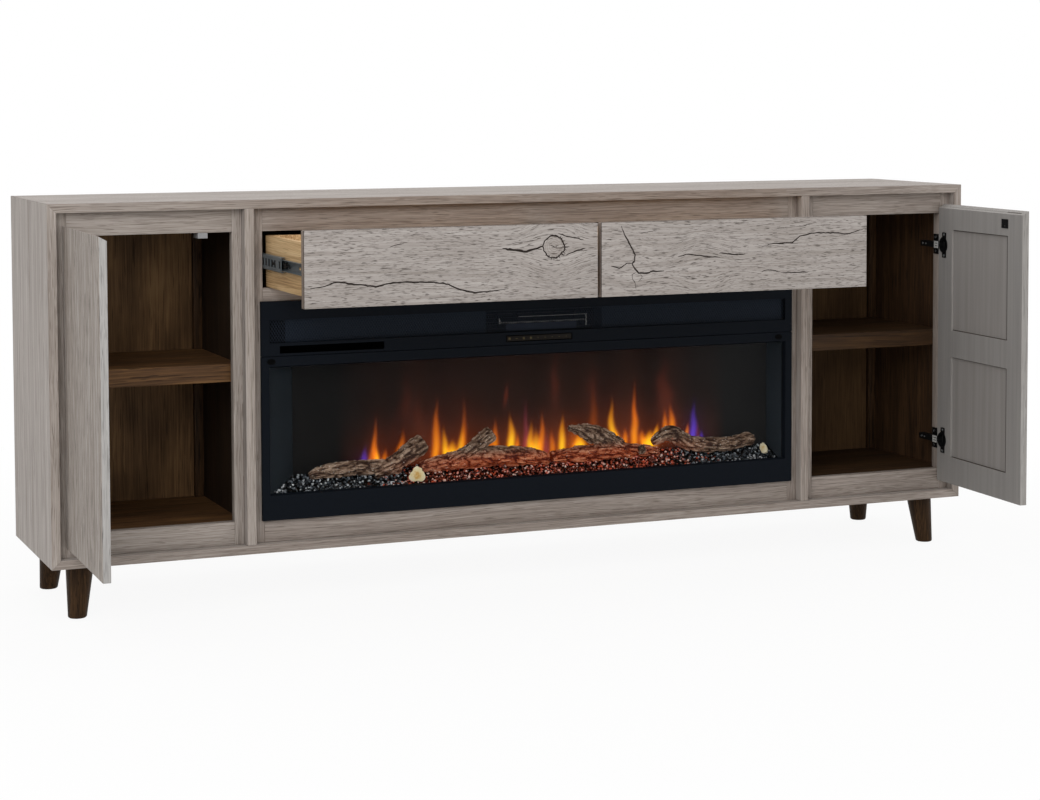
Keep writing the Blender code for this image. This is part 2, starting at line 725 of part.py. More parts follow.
def build_bay_panels():
    """Bay floors on their bearers, shelves, and the drawer deck and divider."""
    back = BACK_FACE - JOINT_GAP
    for word, side in (("left", -1), ("right", 1)):
        outer = side * (INNER_HALF - JOINT_GAP)
        inner = side * (PARTITION_OUTER + JOINT_GAP)
        floor = block(
            (outer, FRAME_BACK + JOINT_GAP, BAY_FLOOR - FLOOR_THICKNESS),
            (inner, back, BAY_FLOOR),
        )
        stile_reach = HINGE_STILE_WIDTH + JOINT_GAP
        notch = block(
            (side * (INNER_HALF + OVERRUN), FRAME_BACK - OVERRUN, BAY_FLOOR - 2 * FLOOR_THICKNESS),
            (
                side * (INNER_HALF - stile_reach),
                FRAME_FRONT + HINGE_STILE_DEPTH + JOINT_GAP,
                BAY_FLOOR + OVERRUN,
            ),
        )
        cut(floor, notch)
        for edge, way in ((outer, -side), (inner, side)):
            near = edge + way * BEARER_INSET
            bearer = block(
                (near, FRAME_BACK + BEARER_INSET, INNER_BOTTOM + JOINT_GAP),
                (
                    near + way * BEARER_WIDTH,
                    back - BEARER_INSET,
                    BAY_FLOOR - FLOOR_THICKNESS / 2,
                ),
            )
            join(floor, bearer)
        add_part(floor, word + "_bay_floor", dark_walnut())

        shelf = block(
            (outer, FRONT_Y + SHELF_SETBACK, SHELF_TOP - SHELF_THICKNESS),
            (inner, back, SHELF_TOP),
        )
        add_part(round_edges(shelf), word + "_shelf", dark_walnut())

    half = PARTITION_INNER - JOINT_GAP
    deck = block(
        (-half, FRAME_BACK + JOINT_GAP, DECK_TOP - DECK_THICKNESS), (half, back, DECK_TOP)
    )
    add_part(deck, "drawer_deck", dark_walnut())
    divider = block(
        (-DIVIDER_THICKNESS / 2, FRAME_BACK + JOINT_GAP, DECK_TOP + JOINT_GAP),
        (DIVIDER_THICKNESS / 2, back, INNER_TOP - JOINT_GAP),
    )
    add_part(divider, "drawer_divider", dark_walnut())


def build_legs():
    """Four turned legs that splay outward, each with round level sections."""
    top = LEG_HEIGHT - JOINT_GAP
    foot = LEG_BOTTOM_DIAMETER / 2
    profile = [(0, top), (LEG_TOP_DIAMETER / 2, top)]
    profile += arc((foot - LEG_FOOT_ROUND, LEG_FOOT_ROUND), LEG_FOOT_ROUND, 0, -90, 4)
    profile.append((0, 0))
    places = {
        "front_left_leg": (-1, -1, FRONT_Y + LEG_FRONT_INSET),
        "front_right_leg": (1, -1, FRONT_Y + LEG_FRONT_INSET),
        "rear_left_leg": (-1, 1, REAR_Y - LEG_REAR_INSET),
        "rear_right_leg": (1, 1, REAR_Y - LEG_REAR_INSET),
    }
    for name, (side, way, depth) in places.items():
        model = turned(profile, name)
        CUTTERS.objects.link(model)
        bpy.context.view_layer.update()
        graph = bpy.context.evaluated_depsgraph_get()
        mesh = bpy.data.meshes.new_from_object(model.evaluated_get(graph))
        bpy.data.objects.remove(model, do_unlink=True)
        slant = Matrix.Identity(4)
        slant[0][2] = -side * LEG_SPLAY_SIDE / LEG_HEIGHT
        slant[1][2] = -way * LEG_SPLAY_DEPTH / LEG_HEIGHT
        mesh.transform(slant)
        leg = bpy.data.objects.new(name, mesh)
        across = side * (CASE_HALF - LEG_SIDE_INSET + LEG_SPLAY_SIDE)
        leg.location = (across, depth + way * LEG_SPLAY_DEPTH, 0)
        leg.data.set_sharp_from_angle(angle=math.radians(40))
        add_part(leg, name, leg_stain())


# Doors and their hinges. Door shapes are drawn closed, about the hinge axis, and the empty
# that they hang from is turned to the door's open posture.


def build_door(word, side, pivot):
    """One slab door with two routed panels, a finger pull and hinge bores."""
    inward = -side
    near = -inward * HINGE_AXIS_INSET
    far = inward * DOOR_FREE_EDGE
    door = block((near, DOOR_FACE_FRONT, DOOR_BOTTOM), (far, DOOR_FACE_BACK, DOOR_TOP))
    round_edges(door)

    panel_near = near + inward * DOOR_STILE
    panel_far = far - inward * DOOR_STILE
    upper_top = DOOR_TOP - DOOR_TOP_RAIL
    upper_bottom = upper_top - DOOR_UPPER_PANEL_HEIGHT
    lower_top = upper_bottom - DOOR_MIDDLE_RAIL
    lower_bottom = DOOR_BOTTOM + DOOR_BOTTOM_RAIL
    for low, high in ((upper_bottom, upper_top), (lower_bottom, lower_top)):
        recess = block(
            (panel_near, DOOR_FACE_BACK - DOOR_RECESS, low),
            (panel_far, DOOR_FACE_BACK + OVERRUN, high),
        )
        cut(door, recess, pivot)

    slope = DOOR_PULL_DROP / DOOR_THICKNESS
    wedge_points = [
        (DOOR_FACE_FRONT, DOOR_TOP),
        (DOOR_FACE_BACK + OVERRUN, DOOR_TOP - DOOR_PULL_DROP - OVERRUN * slope),
        (DOOR_FACE_BACK + OVERRUN, DOOR_TOP + OVERRUN),
        (DOOR_FACE_FRONT, DOOR_TOP + OVERRUN),
    ]
    wedge = plan_solid(wedge_points, DOOR_WIDTH + 2 * OVERRUN, (0, 0, 0))
    wedge.matrix_world = Matrix.Translation(((near + far) / 2, 0, 0)) @ Matrix(
        ((0, 0, 1, 0), (1, 0, 0, 0), (0, 1, 0, 0), (0, 0, 0, 1))
    )
    cut(door, wedge, pivot)

    for height in hinge_heights():
        bore = cylinder(
            HINGE_CUP_DIAMETER / 2,
            HINGE_CUP_DEPTH + OVERRUN,
            (
                cup_centre(inward),
                DOOR_FACE_BACK + (OVERRUN - HINGE_CUP_DEPTH) / 2,
                height,
            ),
            axis="Y",
            sides=CUP_SIDES,
        )
        cut(door, bore, pivot)
    add_part(door, word + "_door", weathered_front(), pivot)


def hinge_heights():
    """The heights of the upper and the lower hinge on a door."""
    return (DOOR_TOP - HINGE_TOP_INSET, DOOR_BOTTOM + HINGE_BOTTOM_INSET)


def cup_centre(inward):
    """Where a cup's centre lies across the door, from the hinge axis."""
    return inward * (HINGE_CUP_EDGE + HINGE_CUP_DIAMETER / 2 - HINGE_AXIS_INSET)


def build_hinge_cup(name, inward, height, pivot):
    """The steel cup in the door, with its wings and its pin on the axis."""
    radius = HINGE_CUP_DIAMETER / 2 - JOINT_GAP
    bottom = -HINGE_CUP_DEPTH + JOINT_GAP
    lip = radius + JOINT_GAP + HINGE_LIP_OVERLAP
    seat = JOINT_GAP
    inner = radius - HINGE_SHEET
    profile = [
        (0, bottom + HINGE_SHEET),
        (inner, bottom + HINGE_SHEET),
        (inner, seat + HINGE_LIP),
        (lip, seat + HINGE_LIP),
        (lip, seat),
        (radius, seat),
        (radius, bottom),
        (0, bottom),
    ]
    cup = turned(profile, name, CUP_SIDES)
    centre = (cup_centre(inward), DOOR_FACE_BACK, height)
    cup.rotation_euler = (math.radians(-90), 0, 0)
    cup.location = centre

    wing_middle = centre[0] + inward * HINGE_WING_OFFSET
    wing_half = HINGE_WING_WIDTH / 2
    for way in (-1, 1):
        start = height + way * (radius - HINGE_WING_OFFSET)
        end = height + way * HINGE_WING_LENGTH / 2
        wing = block(
            (wing_middle - wing_half, DOOR_FACE_BACK + seat, start),
            (wing_middle + wing_half, DOOR_FACE_BACK + seat + HINGE_LIP - WELD, end),
        )
        cut_wing = cylinder(
            inner + HINGE_SHEET / 2,
            4 * OVERRUN,
            centre,
            axis="Y",
            sides=CUP_SIDES,
        )
        cut(wing, cut_wing, pivot)
        join(cup, wing, pivot)

    offset = abs(centre[0]) + HINGE_PIN_DIAMETER / 2
    half = math.sqrt((radius - HINGE_SHEET / 2) ** 2 - offset**2)
    pin = cylinder(HINGE_PIN_DIAMETER / 2, 2 * half, (0, 0, height), sides=SMALL_SIDES)
    join(cup, pin, pivot)
    add_part(cup, name, black_steel(), pivot)


def build_hinge_arm(name, inward, axis_x, height):
    """The fixed arm: plate, channel, and the link that reaches the pin in the cup."""
    sweep = math.hypot(HINGE_AXIS_INSET, DOOR_FACE_BACK)
    leg_near = sweep + HINGE_SWEEP_CLEARANCE
    leg_far = leg_near + HINGE_LINK_THICKNESS
    half = HINGE_LINK_THICKNESS / 2
    frame_front = FRAME_FRONT - HINGE_AXIS_Y
    plate_front = frame_front + HINGE_PLATE_SETBACK
    stile_edge = HINGE_STILE_WIDTH - DOOR_REVEAL - HINGE_AXIS_INSET
    plate_near = stile_edge + JOINT_GAP
    plate_far = plate_near + HINGE_PLATE_THICKNESS
    arm_end = frame_front + HINGE_ARM_LENGTH

    def at(across, back):
        return (axis_x + inward * across, HINGE_AXIS_Y + back)

    def arm_block(near, far, front, back, tall):
        low_x, low_y = at(near, front)
        high_x, high_y = at(far, back)
        return block((low_x, low_y, height - tall / 2), (high_x, high_y, height + tall / 2))

    bend = at(leg_near, half)
    outer_bend = [
        (bend[0] + inward * across, bend[1] + back)
        for across, back in arc((0, 0), HINGE_LINK_THICKNESS, -90, 0, 4)
    ]
    joint_back = plate_front + HINGE_ARM_WALL / 2
    outline = [at(0, -half), *outer_bend, at(leg_far, joint_back)]
    outline += [at(leg_near, joint_back), bend, at(0, half)]
    arm = plan_solid(outline, HINGE_KNUCKLE_HEIGHT, (0, 0, height), name)
    link = arm_block(
        leg_near - FUSE_STEP, leg_far - FUSE_STEP, half, joint_back + FUSE_STEP, HINGE_LINK_HEIGHT
    )
    join(arm, link)

    knuckle = cylinder(
        HINGE_KNUCKLE_DIAMETER / 2,
        HINGE_KNUCKLE_HEIGHT - 2 * FUSE_STEP,
        (*at(0, 0), height),
        sides=SMALL_SIDES,
    )
    join(arm, knuckle)
    bore = cylinder(
        HINGE_PIN_DIAMETER / 2 + HINGE_PIN_PLAY,
        HINGE_KNUCKLE_HEIGHT + 2 * OVERRUN,
        (*at(0, 0), height),
        sides=SMALL_SIDES,
    )
    cut(arm, bore)

    channel_near = plate_near + FUSE_STEP
    channel_far = leg_far + FUSE_STEP
    channel = arm_block(channel_near, channel_far, plate_front, arm_end, HINGE_ARM_HEIGHT)
    wall = HINGE_ARM_WALL
    hollow = arm_block(
        plate_near - OVERRUN,
        channel_far - wall,
        plate_front + wall,
        arm_end - wall,
        HINGE_ARM_HEIGHT - 2 * wall,
    )
    cut(channel, hollow)
    join(arm, channel)
    plate_start = plate_front + FUSE_STEP
    plate_end = plate_front + HINGE_PLATE_DEPTH
    plate = arm_block(plate_near, plate_far, plate_start, plate_end, HINGE_PLATE_HEIGHT)
    join(arm, plate)

    screw_back = plate_front + HINGE_PLATE_DEPTH / 2
    reach = HINGE_SCREW_HEIGHT + HINGE_ARM_WALL / 2
    for way in (-1, 1):
        x, y = at(plate_far + (HINGE_SCREW_HEIGHT - HINGE_ARM_WALL / 2) / 2, screw_back)
        place = (x, y, height + way * HINGE_SCREW_SPACING / 2)
        head = cylinder(HINGE_SCREW_DIAMETER / 2, reach, place, axis="X", sides=SMALL_SIDES)
        join(arm, head)
    add_part(arm, name, black_steel())


def build_doors():
    """Both doors with their hinges, strikes and catches."""
    for word, side, degrees in (
        ("left", -1, LEFT_DOOR_OPEN_DEG),
        ("right", 1, RIGHT_DOOR_OPEN_DEG),
    ):
        inward = -side
        axis_x = side * HINGE_AXIS_X
        turn = -inward * math.radians(degrees)
        pivot = empty(word + "_door_axis", (axis_x, HINGE_AXIS_Y, 0), turn)
        build_door(word, side, pivot)
        for place, height in zip(("upper", "lower"), hinge_heights()):
            build_hinge_cup(f"{word}_{place}_hinge_cup", inward, height, pivot)
            build_hinge_arm(f"{word}_{place}_hinge_arm", inward, axis_x, height)
        build_strike(word, inward, pivot)
        build_catch(word, inward, axis_x)


def build_strike(word, inward, pivot):
    """The strike plate near the door's free top corner."""
    near = inward * (STRIKE_EDGE - HINGE_AXIS_INSET)
    far = near + inward * STRIKE_WIDTH
    top = DOOR_TOP - STRIKE_TOP_INSET
    bottom = top - STRIKE_HEIGHT
    front = DOOR_FACE_BACK + JOINT_GAP
    strike = block((near, front, bottom), (far, front + STRIKE_THICKNESS, top))
    hole = cylinder(
        STRIKE_HOLE_DIAMETER / 2,
        STRIKE_THICKNESS + 2 * OVERRUN,
        ((near + far) / 2, front, bottom + STRIKE_HOLE_RISE),
        axis="Y",
        sides=SMALL_SIDES,
    )
    cut(strike, hole, pivot)
    add_part(strike, word + "_strike", black_steel(), pivot)


def build_catch(word, inward, axis_x):
    """The catch under the top rail, opposite the strike of the closed door."""
    middle = axis_x + inward * (STRIKE_EDGE - HINGE_AXIS_INSET + STRIKE_WIDTH / 2)
    half = CATCH_WIDTH / 2
    top = RAIL_UNDERSIDE - JOINT_GAP
    closed_strike = HINGE_AXIS_Y + DOOR_FACE_BACK + JOINT_GAP + STRIKE_THICKNESS
    front = closed_strike + CATCH_GAP
    back = front + CATCH_DEPTH
    body = block((middle - half, front, top - CATCH_HEIGHT), (middle + half, back, top))
    plate = block(
        (middle - half + WELD, FRAME_BACK + JOINT_GAP, top - CATCH_HEIGHT / 2),
        (
            middle + half - WELD,
            FRAME_BACK + JOINT_GAP + CATCH_PLATE_THICKNESS,
            top + CATCH_PLATE_HEIGHT,
        ),
    )
    join(body, plate)
    add_part(body, word + "_catch", finish("catch_plastic", (0.55, 0.55, 0.53), 0.45))


# Drawers and telescopic slides


def section_channel(web_x, way, height, flange, z, y_front, name):
    """A pressed channel along Y: a web and two flanges with round bends."""
    radius = SLIDE_BEND_RADIUS
    top = height / 2 - SLIDE_SHEET / 2
    web = web_x + way * SLIDE_SHEET / 2
    tip = web_x + way * flange
    bend = web + way * radius
    points = [(tip, top)]
    start, end = (90, 180) if way > 0 else (90, 0)
    points += arc((bend, top - radius), radius, start, end, 3)
    points += [(x, -up) for x, up in reversed(points)]
    channel = front_ribbon(points, SLIDE_LENGTH, (0, y_front + SLIDE_LENGTH / 2, z), name)
    wall = channel.modifiers.new("Sheet", "SOLIDIFY")
    wall.thickness = SLIDE_SHEET
    wall.offset = 0
    wall.use_even_offset = True
    return channel


def build_slide(word, place, wall_x, way, slide_empty, drawer_empty):
    """One three-member slide between a case wall and a drawer side."""
    z = DRAWER_SILL + SLIDE_RISE
    closed_front = FRONT_Y + SLIDE_SETBACK
    seat = wall_x + way * JOINT_GAP
    drawer_seat = wall_x + way * (SLIDE_SPACE - JOINT_GAP)
    members = (
        ("cabinet", seat, way, CABINET_MEMBER_HEIGHT, CABINET_MEMBER_FLANGE, 0, None),
        (
            "middle",
            wall_x + way * MIDDLE_MEMBER_OFFSET,
            way,
            MIDDLE_MEMBER_HEIGHT,
            MIDDLE_MEMBER_FLANGE,
            DRAWER_TRAVEL / 2,
            slide_empty,
        ),
        (
            "drawer",
            drawer_seat,
            -way,
            DRAWER_MEMBER_HEIGHT,
            DRAWER_MEMBER_FLANGE,
            DRAWER_TRAVEL,
            drawer_empty,
        ),
    )
    for kind, web, facing, height, flange, pulled, rider in members:
        name = f"{word}_{place}_slide_{kind}_member"
        front = closed_front - pulled
        member = section_channel(web, facing, height, flange, z, front, name)
        middle = front + SLIDE_LENGTH / 2
        for step in (-1, 0, 1):
            centre = (web, middle + step * SLIDE_SLOT_SPACING / 2, z)
            tool = slot_tool(SLIDE_SLOT_LENGTH, SLIDE_SLOT_WIDTH, SLIDE_SHEET, centre)
            if rider:
                tool.location = Vector(centre) - rider.location
            cut(member, tool, rider)
        if rider:
            member.location -= rider.location
        add_part(member, name, slide_steel(), rider)


def build_drawer(word, side):
    """One drawer: front, box with a captured bottom, and its two slides."""
    front_y = FRONT_Y + DRAWER_SETBACK - DRAWER_TRAVEL
    rider = empty(word + "_drawer_travel", (0, front_y, DRAWER_SILL))
    middle_rider = empty(word + "_slide_travel", (0, front_y + DRAWER_TRAVEL / 2, DRAWER_SILL))

    inner = side * DRAWER_FRONT_GAP / 2
    outer = inner + side * DRAWER_FRONT_WIDTH
    panel = block(
        (inner, 0, -DRAWER_FRONT_DROP),
        (outer, DRAWER_FRONT_THICKNESS, DRAWER_FRONT_HEIGHT - DRAWER_FRONT_DROP),
    )
    add_part(round_edges(panel), word + "_drawer_front", weathered_front(), rider)

    box_outer = side * (CENTRE_OPENING_HALF - SLIDE_SPACE)
    box_inner = side * (DIVIDER_THICKNESS / 2 + SLIDE_SPACE)
    start = DRAWER_FRONT_THICKNESS + JOINT_GAP
    end = start + DRAWER_BOX_DEPTH
    bottom = DRAWER_BOX_LIFT
    top = bottom + DRAWER_BOX_HEIGHT
    box = block((box_inner, start, bottom), (box_outer, end, top))
    panel_low = bottom + DRAWER_BOTTOM_RECESS
    panel_high = panel_low + DRAWER_BOTTOM_THICKNESS
    for low, high in ((panel_high, top + OVERRUN), (bottom - OVERRUN, panel_low)):
        cavity = block(
            (box_inner + side * DRAWER_WALL, start + DRAWER_WALL, low),
            (box_outer - side * DRAWER_WALL, end - DRAWER_WALL, high),
        )
        cut(box, cavity, rider)
    add_part(box, word + "_drawer_box", drawer_pine(), rider)

    divider_face = side * DIVIDER_THICKNESS / 2
    stile_face = side * CENTRE_OPENING_HALF
    build_slide(word, "outer", stile_face, -side, middle_rider, rider)
    build_slide(word, "inner", divider_face, side, middle_rider, rider)


# Fireplace insert


def build_fascia():
    """The upper front of the insert, with the vent window and the control strip."""
    fascia = block(
        (-INSERT_HALF, FASCIA_FRONT, FASCIA_BOTTOM), (INSERT_HALF, FASCIA_BACK, INSERT_TOP)
    )
    round_edges(fascia)
    vent_half = VENT_WIDTH / 2
    cut(
        fascia,
        block(
            (-vent_half, FASCIA_FRONT - OVERRUN, VENT_BOTTOM),
            (vent_half, FASCIA_BACK + OVERRUN, VENT_TOP),
        ),
    )
    rebate = GRILLE_LAP + JOINT_GAP
    cut(
        fascia,
        block(
            (-vent_half - rebate, FASCIA_BACK - GRILLE_THICKNESS - JOINT_GAP, VENT_BOTTOM - rebate),
            (vent_half + rebate, FASCIA_BACK + OVERRUN, VENT_TOP + rebate),
        ),
    )
    slot_left = -INSERT_HALF + DISPLAY_INSET
    slot_bottom = FASCIA_BOTTOM + DISPLAY_LIFT
    cut(
        fascia,
        block(
            (slot_left, FASCIA_FRONT - OVERRUN, slot_bottom),
            (
                slot_left + DISPLAY_WIDTH,
                FASCIA_FRONT + DISPLAY_RECESS,
                slot_bottom + DISPLAY_HEIGHT,
            ),
        ),
    )
    strip_middle = (FASCIA_BOTTOM + VENT_BOTTOM) / 2
    cut(
        fascia,
        block(
            (-CONTROL_WIDTH / 2, FASCIA_FRONT - OVERRUN, strip_middle - CONTROL_HEIGHT / 2),
            (
                CONTROL_WIDTH / 2,
                FASCIA_FRONT + CONTROL_RECESS,
                strip_middle + CONTROL_HEIGHT / 2,
            ),
        ),
    )
    add_part(fascia, "vent_fascia", insert_enamel())


def build_grille():
    """The vent grille: a plate pierced by rows of diamonds."""
    half = VENT_WIDTH / 2 + GRILLE_LAP
    front = FASCIA_BACK - GRILLE_THICKNESS
    low = VENT_BOTTOM - GRILLE_LAP
    high = VENT_TOP + GRILLE_LAP
    plate = block((-half, front, low), (half, FASCIA_BACK, high))
    pitch_x = VENT_WIDTH / GRILLE_COLUMNS
    pitch_z = VENT_HEIGHT / GRILLE_ROWS
    long_half = (pitch_x - GRILLE_STRAND) / 2
    tall_half = (pitch_z - GRILLE_STRAND / 2) / 2
    tools = bmesh.new()
    for row in range(GRILLE_ROWS):
        for column in range(GRILLE_COLUMNS):
            made = bmesh.ops.create_cone(
                tools,
                cap_ends=True,
                segments=4,
                radius1=1,
                radius2=1,
                depth=GRILLE_THICKNESS + 2 * OVERRUN,
                matrix=Matrix.Rotation(math.radians(90), 4, "X"),
            )
            bmesh.ops.scale(tools, vec=(long_half, 1, tall_half), verts=made["verts"])
            place = (
                -VENT_WIDTH / 2 + pitch_x * (column + 1 / 2),
                0,
                VENT_BOTTOM + pitch_z * (row + 1 / 2),
            )
            bmesh.ops.translate(tools, vec=place, verts=made["verts"])
    holes = from_bmesh("grille_holes", tools)
    holes.location = (0, front + GRILLE_THICKNESS / 2, 0)
    cut(plate, holes)
    add_part(plate, "vent_grille", black_steel())


def build_glass():
    """The lower front frame with sloped inner edges, and the glass behind it."""
    frame = block(
        (-INSERT_HALF, FASCIA_FRONT, INSERT_BOTTOM),
        (INSERT_HALF, FASCIA_BACK, GLASS_FRAME_TOP),
    )
    round_edges(frame)
    slope = GLASS_BORDER_SLOPE
    depth = FASCIA_BACK - FASCIA_FRONT
    middle_z = (GLASS_BOTTOM + GLASS_TOP) / 2
    tall = (GLASS_TOP - GLASS_BOTTOM) / 2
    shape = bmesh.new()
    made = bmesh.ops.create_cube(shape, size=1)
    for vert in made["verts"]:
        flare = slope if vert.co.y < 0 else 0
        across = GLASS_HALF - slope + flare * (depth + 2 * OVERRUN) / depth
        up = tall - slope + flare * (depth + 2 * OVERRUN) / depth
        vert.co.x *= 2 * across
        vert.co.z *= 2 * up
        vert.co.y *= depth + 2 * OVERRUN
    window = from_bmesh("glass_window", shape)
    window.location = (0, (FASCIA_FRONT + FASCIA_BACK) / 2, middle_z)
    cut(frame, window)
    add_part(frame, "glass_frame", insert_enamel())

    front = FASCIA_BACK + JOINT_GAP
    pane = block(
        (-FIREBOX_HALF, front, GLASS_BOTTOM - GLASS_LAP),
        (FIREBOX_HALF, front + GLASS_THICKNESS, GLASS_TOP + GLASS_LAP),
    )
    add_part(pane, "glass_pane", finish("clear_glass", (0.75, 0.78, 0.80), 0.05, alpha=0.25))


def blower_axis():
    """The middle of the blower's shaft."""
    return (0, HOUSING_FRONT + BLOWER_SETBACK, WORKS_MIDDLE)


def spindle_axis():
    """The middle of the flame spindle."""
    return (0, HOUSING_FRONT + SPINDLE_SETBACK, FIREBOX_FLOOR + SPINDLE_LIFT)


def build_housing():
    """The sheet housing: firebox below, blower bay above, louvres at the back."""
    shape = bmesh.new()
    bmesh.ops.create_cube(shape, size=1)
    front_faces = [face for face in shape.faces if face.normal.y < -1 / 2]
    bmesh.ops.delete(shape, geom=front_faces, context="FACES_ONLY")
    tall = HOUSING_TOP - HOUSING_BOTTOM
    bmesh.ops.scale(shape, vec=(2 * HOUSING_HALF, HOUSING_DEPTH, tall), verts=shape.verts)
    housing = from_bmesh("housing", shape)
    housing.location = (
        0,
        (HOUSING_FRONT + HOUSING_BACK) / 2,
        (HOUSING_TOP + HOUSING_BOTTOM) / 2,
    )
    sheet = housing.modifiers.new("Sheet", "SOLIDIFY")
    sheet.thickness = HOUSING_SHEET
    sheet.offset = -1
    sheet.use_even_offset = True

    inner = HOUSING_HALF - HOUSING_SHEET / 2
    clear_of_glass = HOUSING_FRONT + GLASS_THICKNESS + 2 * JOINT_GAP
    divider = block(
        (-inner, clear_of_glass, DIVIDER_BOTTOM),
        (inner, HOUSING_BACK - HOUSING_SHEET / 2, DIVIDER_BOTTOM + HOUSING_DIVIDER_SHEET),
    )
    join(housing, divider)

    _, blower_y, blower_z = blower_axis()
    shaft_radius = BLOWER_SHAFT_DIAMETER / 2
    for side in (-1, 1):
        near = side * (BLOWER_LENGTH / 2 + BRACKET_GAP)
        far = near + side * BRACKET_SHEET
        bracket = block(
            (near, blower_y - BRACKET_WIDTH / 2, DIVIDER_BOTTOM + HOUSING_DIVIDER_SHEET / 2),
            (far, blower_y + BRACKET_WIDTH / 2, HOUSING_TOP - HOUSING_SHEET / 2),
        )
        join(housing, bracket)
    motor_start = BLOWER_LENGTH / 2 + BRACKET_GAP + BRACKET_SHEET / 2
    motor = cylinder(
        MOTOR_DIAMETER / 2,
        MOTOR_LENGTH,
        (motor_start + MOTOR_LENGTH / 2, blower_y, blower_z),
        axis="X",
        sides=SMALL_SIDES * 2,
    )
    join(housing, motor)
    shaft_hole = cylinder(
        shaft_radius + BEARING_PLAY,
        BLOWER_LENGTH + 2 * (BRACKET_GAP + BRACKET_SHEET) + 2 * OVERRUN,
        blower_axis(),
        axis="X",
        sides=SMALL_SIDES,
    )
    cut(housing, shaft_hole)

    louvres = bmesh.new()
    first = -(HOUSING_LOUVRES - 1) / 2
    for row, height in enumerate((WORKS_MIDDLE, (FIREBOX_FLOOR + FIREBOX_CEILING) / 2)):
        for index in range(HOUSING_LOUVRES):
            made = bmesh.ops.create_cube(louvres, size=1)
            spans = (HOUSING_LOUVRE_WIDTH, 2 * OVERRUN + HOUSING_SHEET, HOUSING_LOUVRE_HEIGHT)
            bmesh.ops.scale(louvres, vec=spans, verts=made["verts"])
            place = ((first + index) * HOUSING_LOUVRE_SPACING, 0, height)
            bmesh.ops.translate(louvres, vec=place, verts=made["verts"])
    slots = from_bmesh("louvres", louvres)
    slots.location = (0, HOUSING_BACK, 0)
    cut(housing, slots)
    inlet = cylinder(
        CORD_INLET_DIAMETER / 2,
        HOUSING_SHEET + 2 * OVERRUN,
        (HOUSING_HALF - CORD_INLET_INSET, HOUSING_BACK, HOUSING_BOTTOM + CORD_INLET_INSET),
        axis="Y",
        sides=SMALL_SIDES,
    )
    cut(housing, inlet)
    add_part(housing, "insert_housing", black_steel())


def build_heater():
    """The warm-air outlet behind the grille, with its fins and two heating rods."""
    front = HOUSING_FRONT + HEATER_SETBACK
    back = front + HEATER_DEPTH
    half = HEATER_WIDTH / 2
    middle = (VENT_TOP + VENT_BOTTOM) / 2
    low = middle - HEATER_HEIGHT / 2
    high = middle + HEATER_HEIGHT / 2
    sheet = HEATER_SHEET
    duct = block((-half, front, low), (half, back, high))
    hollow = block(
        (-half + sheet, front - OVERRUN, low + sheet), (half - sheet, back + OVERRUN, high - sheet)
    )
    cut(duct, hollow)
    pitch = HEATER_WIDTH / (HEATER_FINS + 1)
    inset = HEATER_DEPTH / 5
    for index in range(HEATER_FINS):
        across = -half + pitch * (index + 1)
        fin = block(
            (across - HEATER_FIN_SHEET / 2, front + inset, low + sheet / 2),
            (across + HEATER_FIN_SHEET / 2, back - inset, high - sheet / 2),
        )
        join(duct, fin)
    for way in (-1, 1):
        rod = cylinder(
            HEATER_ROD_DIAMETER / 2,
            HEATER_WIDTH - sheet,
            (0, (front + back) / 2, middle + way * HEATER_ROD_SPACING / 2),
            axis="X",
            sides=SMALL_SIDES,
        )
        join(duct, rod)
    foot = block(
        (-half + sheet + WELD, front + inset, WORKS_FLOOR),
        (half - sheet - WELD, back - inset, low + sheet / 2),
    )
    join(duct, foot)
    add_part(duct, "heater_outlet", finish("heater_steel", (0.20, 0.20, 0.21), 0.40, metallic=1.0))


def build_blower():
    """The cross-flow blower wheel on its shaft."""
    centre = blower_axis()
    radius = BLOWER_DIAMETER / 2
    reach = BLOWER_LENGTH + 2 * (BRACKET_GAP + BRACKET_SHEET)
    wheel = cylinder(
        BLOWER_SHAFT_DIAMETER / 2, reach, centre, axis="X", sides=SMALL_SIDES, name="blower"
    )
    disc_x = BLOWER_LENGTH / 2 - BLOWER_DISC_SHEET / 2
    for across in (-disc_x, 0, disc_x):
        disc = cylinder(
            radius,
            BLOWER_DISC_SHEET,
            (across, centre[1], centre[2]),
            axis="X",
            sides=SMALL_SIDES * 2,
        )
        join(wheel, disc)
    blades = bmesh.new()
    for index in range(BLOWER_BLADES):
        made = bmesh.ops.create_cube(blades, size=1)
        spans = (BLOWER_LENGTH - BLOWER_DISC_SHEET, BLOWER_BLADE_SHEET, BLOWER_BLADE_DEPTH)
        bmesh.ops.scale(blades, vec=spans, verts=made["verts"])
        lean = Matrix.Rotation(math.radians(35), 4, "X")
        bmesh.ops.transform(blades, matrix=lean, verts=made["verts"])
        out = (0, 0, radius - BLOWER_BLADE_DEPTH / 2)
        bmesh.ops.translate(blades, vec=out, verts=made["verts"])
        turn = Matrix.Rotation(math.radians(360) * index / BLOWER_BLADES, 4, "X")
        bmesh.ops.transform(blades, matrix=turn, verts=made["verts"])
    ring = from_bmesh("blower_blades", blades)
    ring.location = centre
    join(wheel, ring)
    add_part(wheel, "blower_wheel", finish("blower_plastic", (0.03, 0.03, 0.03), 0.5))


def build_flame_screen():
    """The dark screen behind the logs that the flames show on."""
    front = HOUSING_FRONT + SCREEN_SETBACK
    screen = block(
        (-FIREBOX_HALF, front, FIREBOX_FLOOR),
        (FIREBOX_HALF, front + SCREEN_THICKNESS, FIREBOX_CEILING),
    )
    add_part(screen, "flame_screen", finish("flame_screen", (0.012, 0.012, 0.011), 0.35))


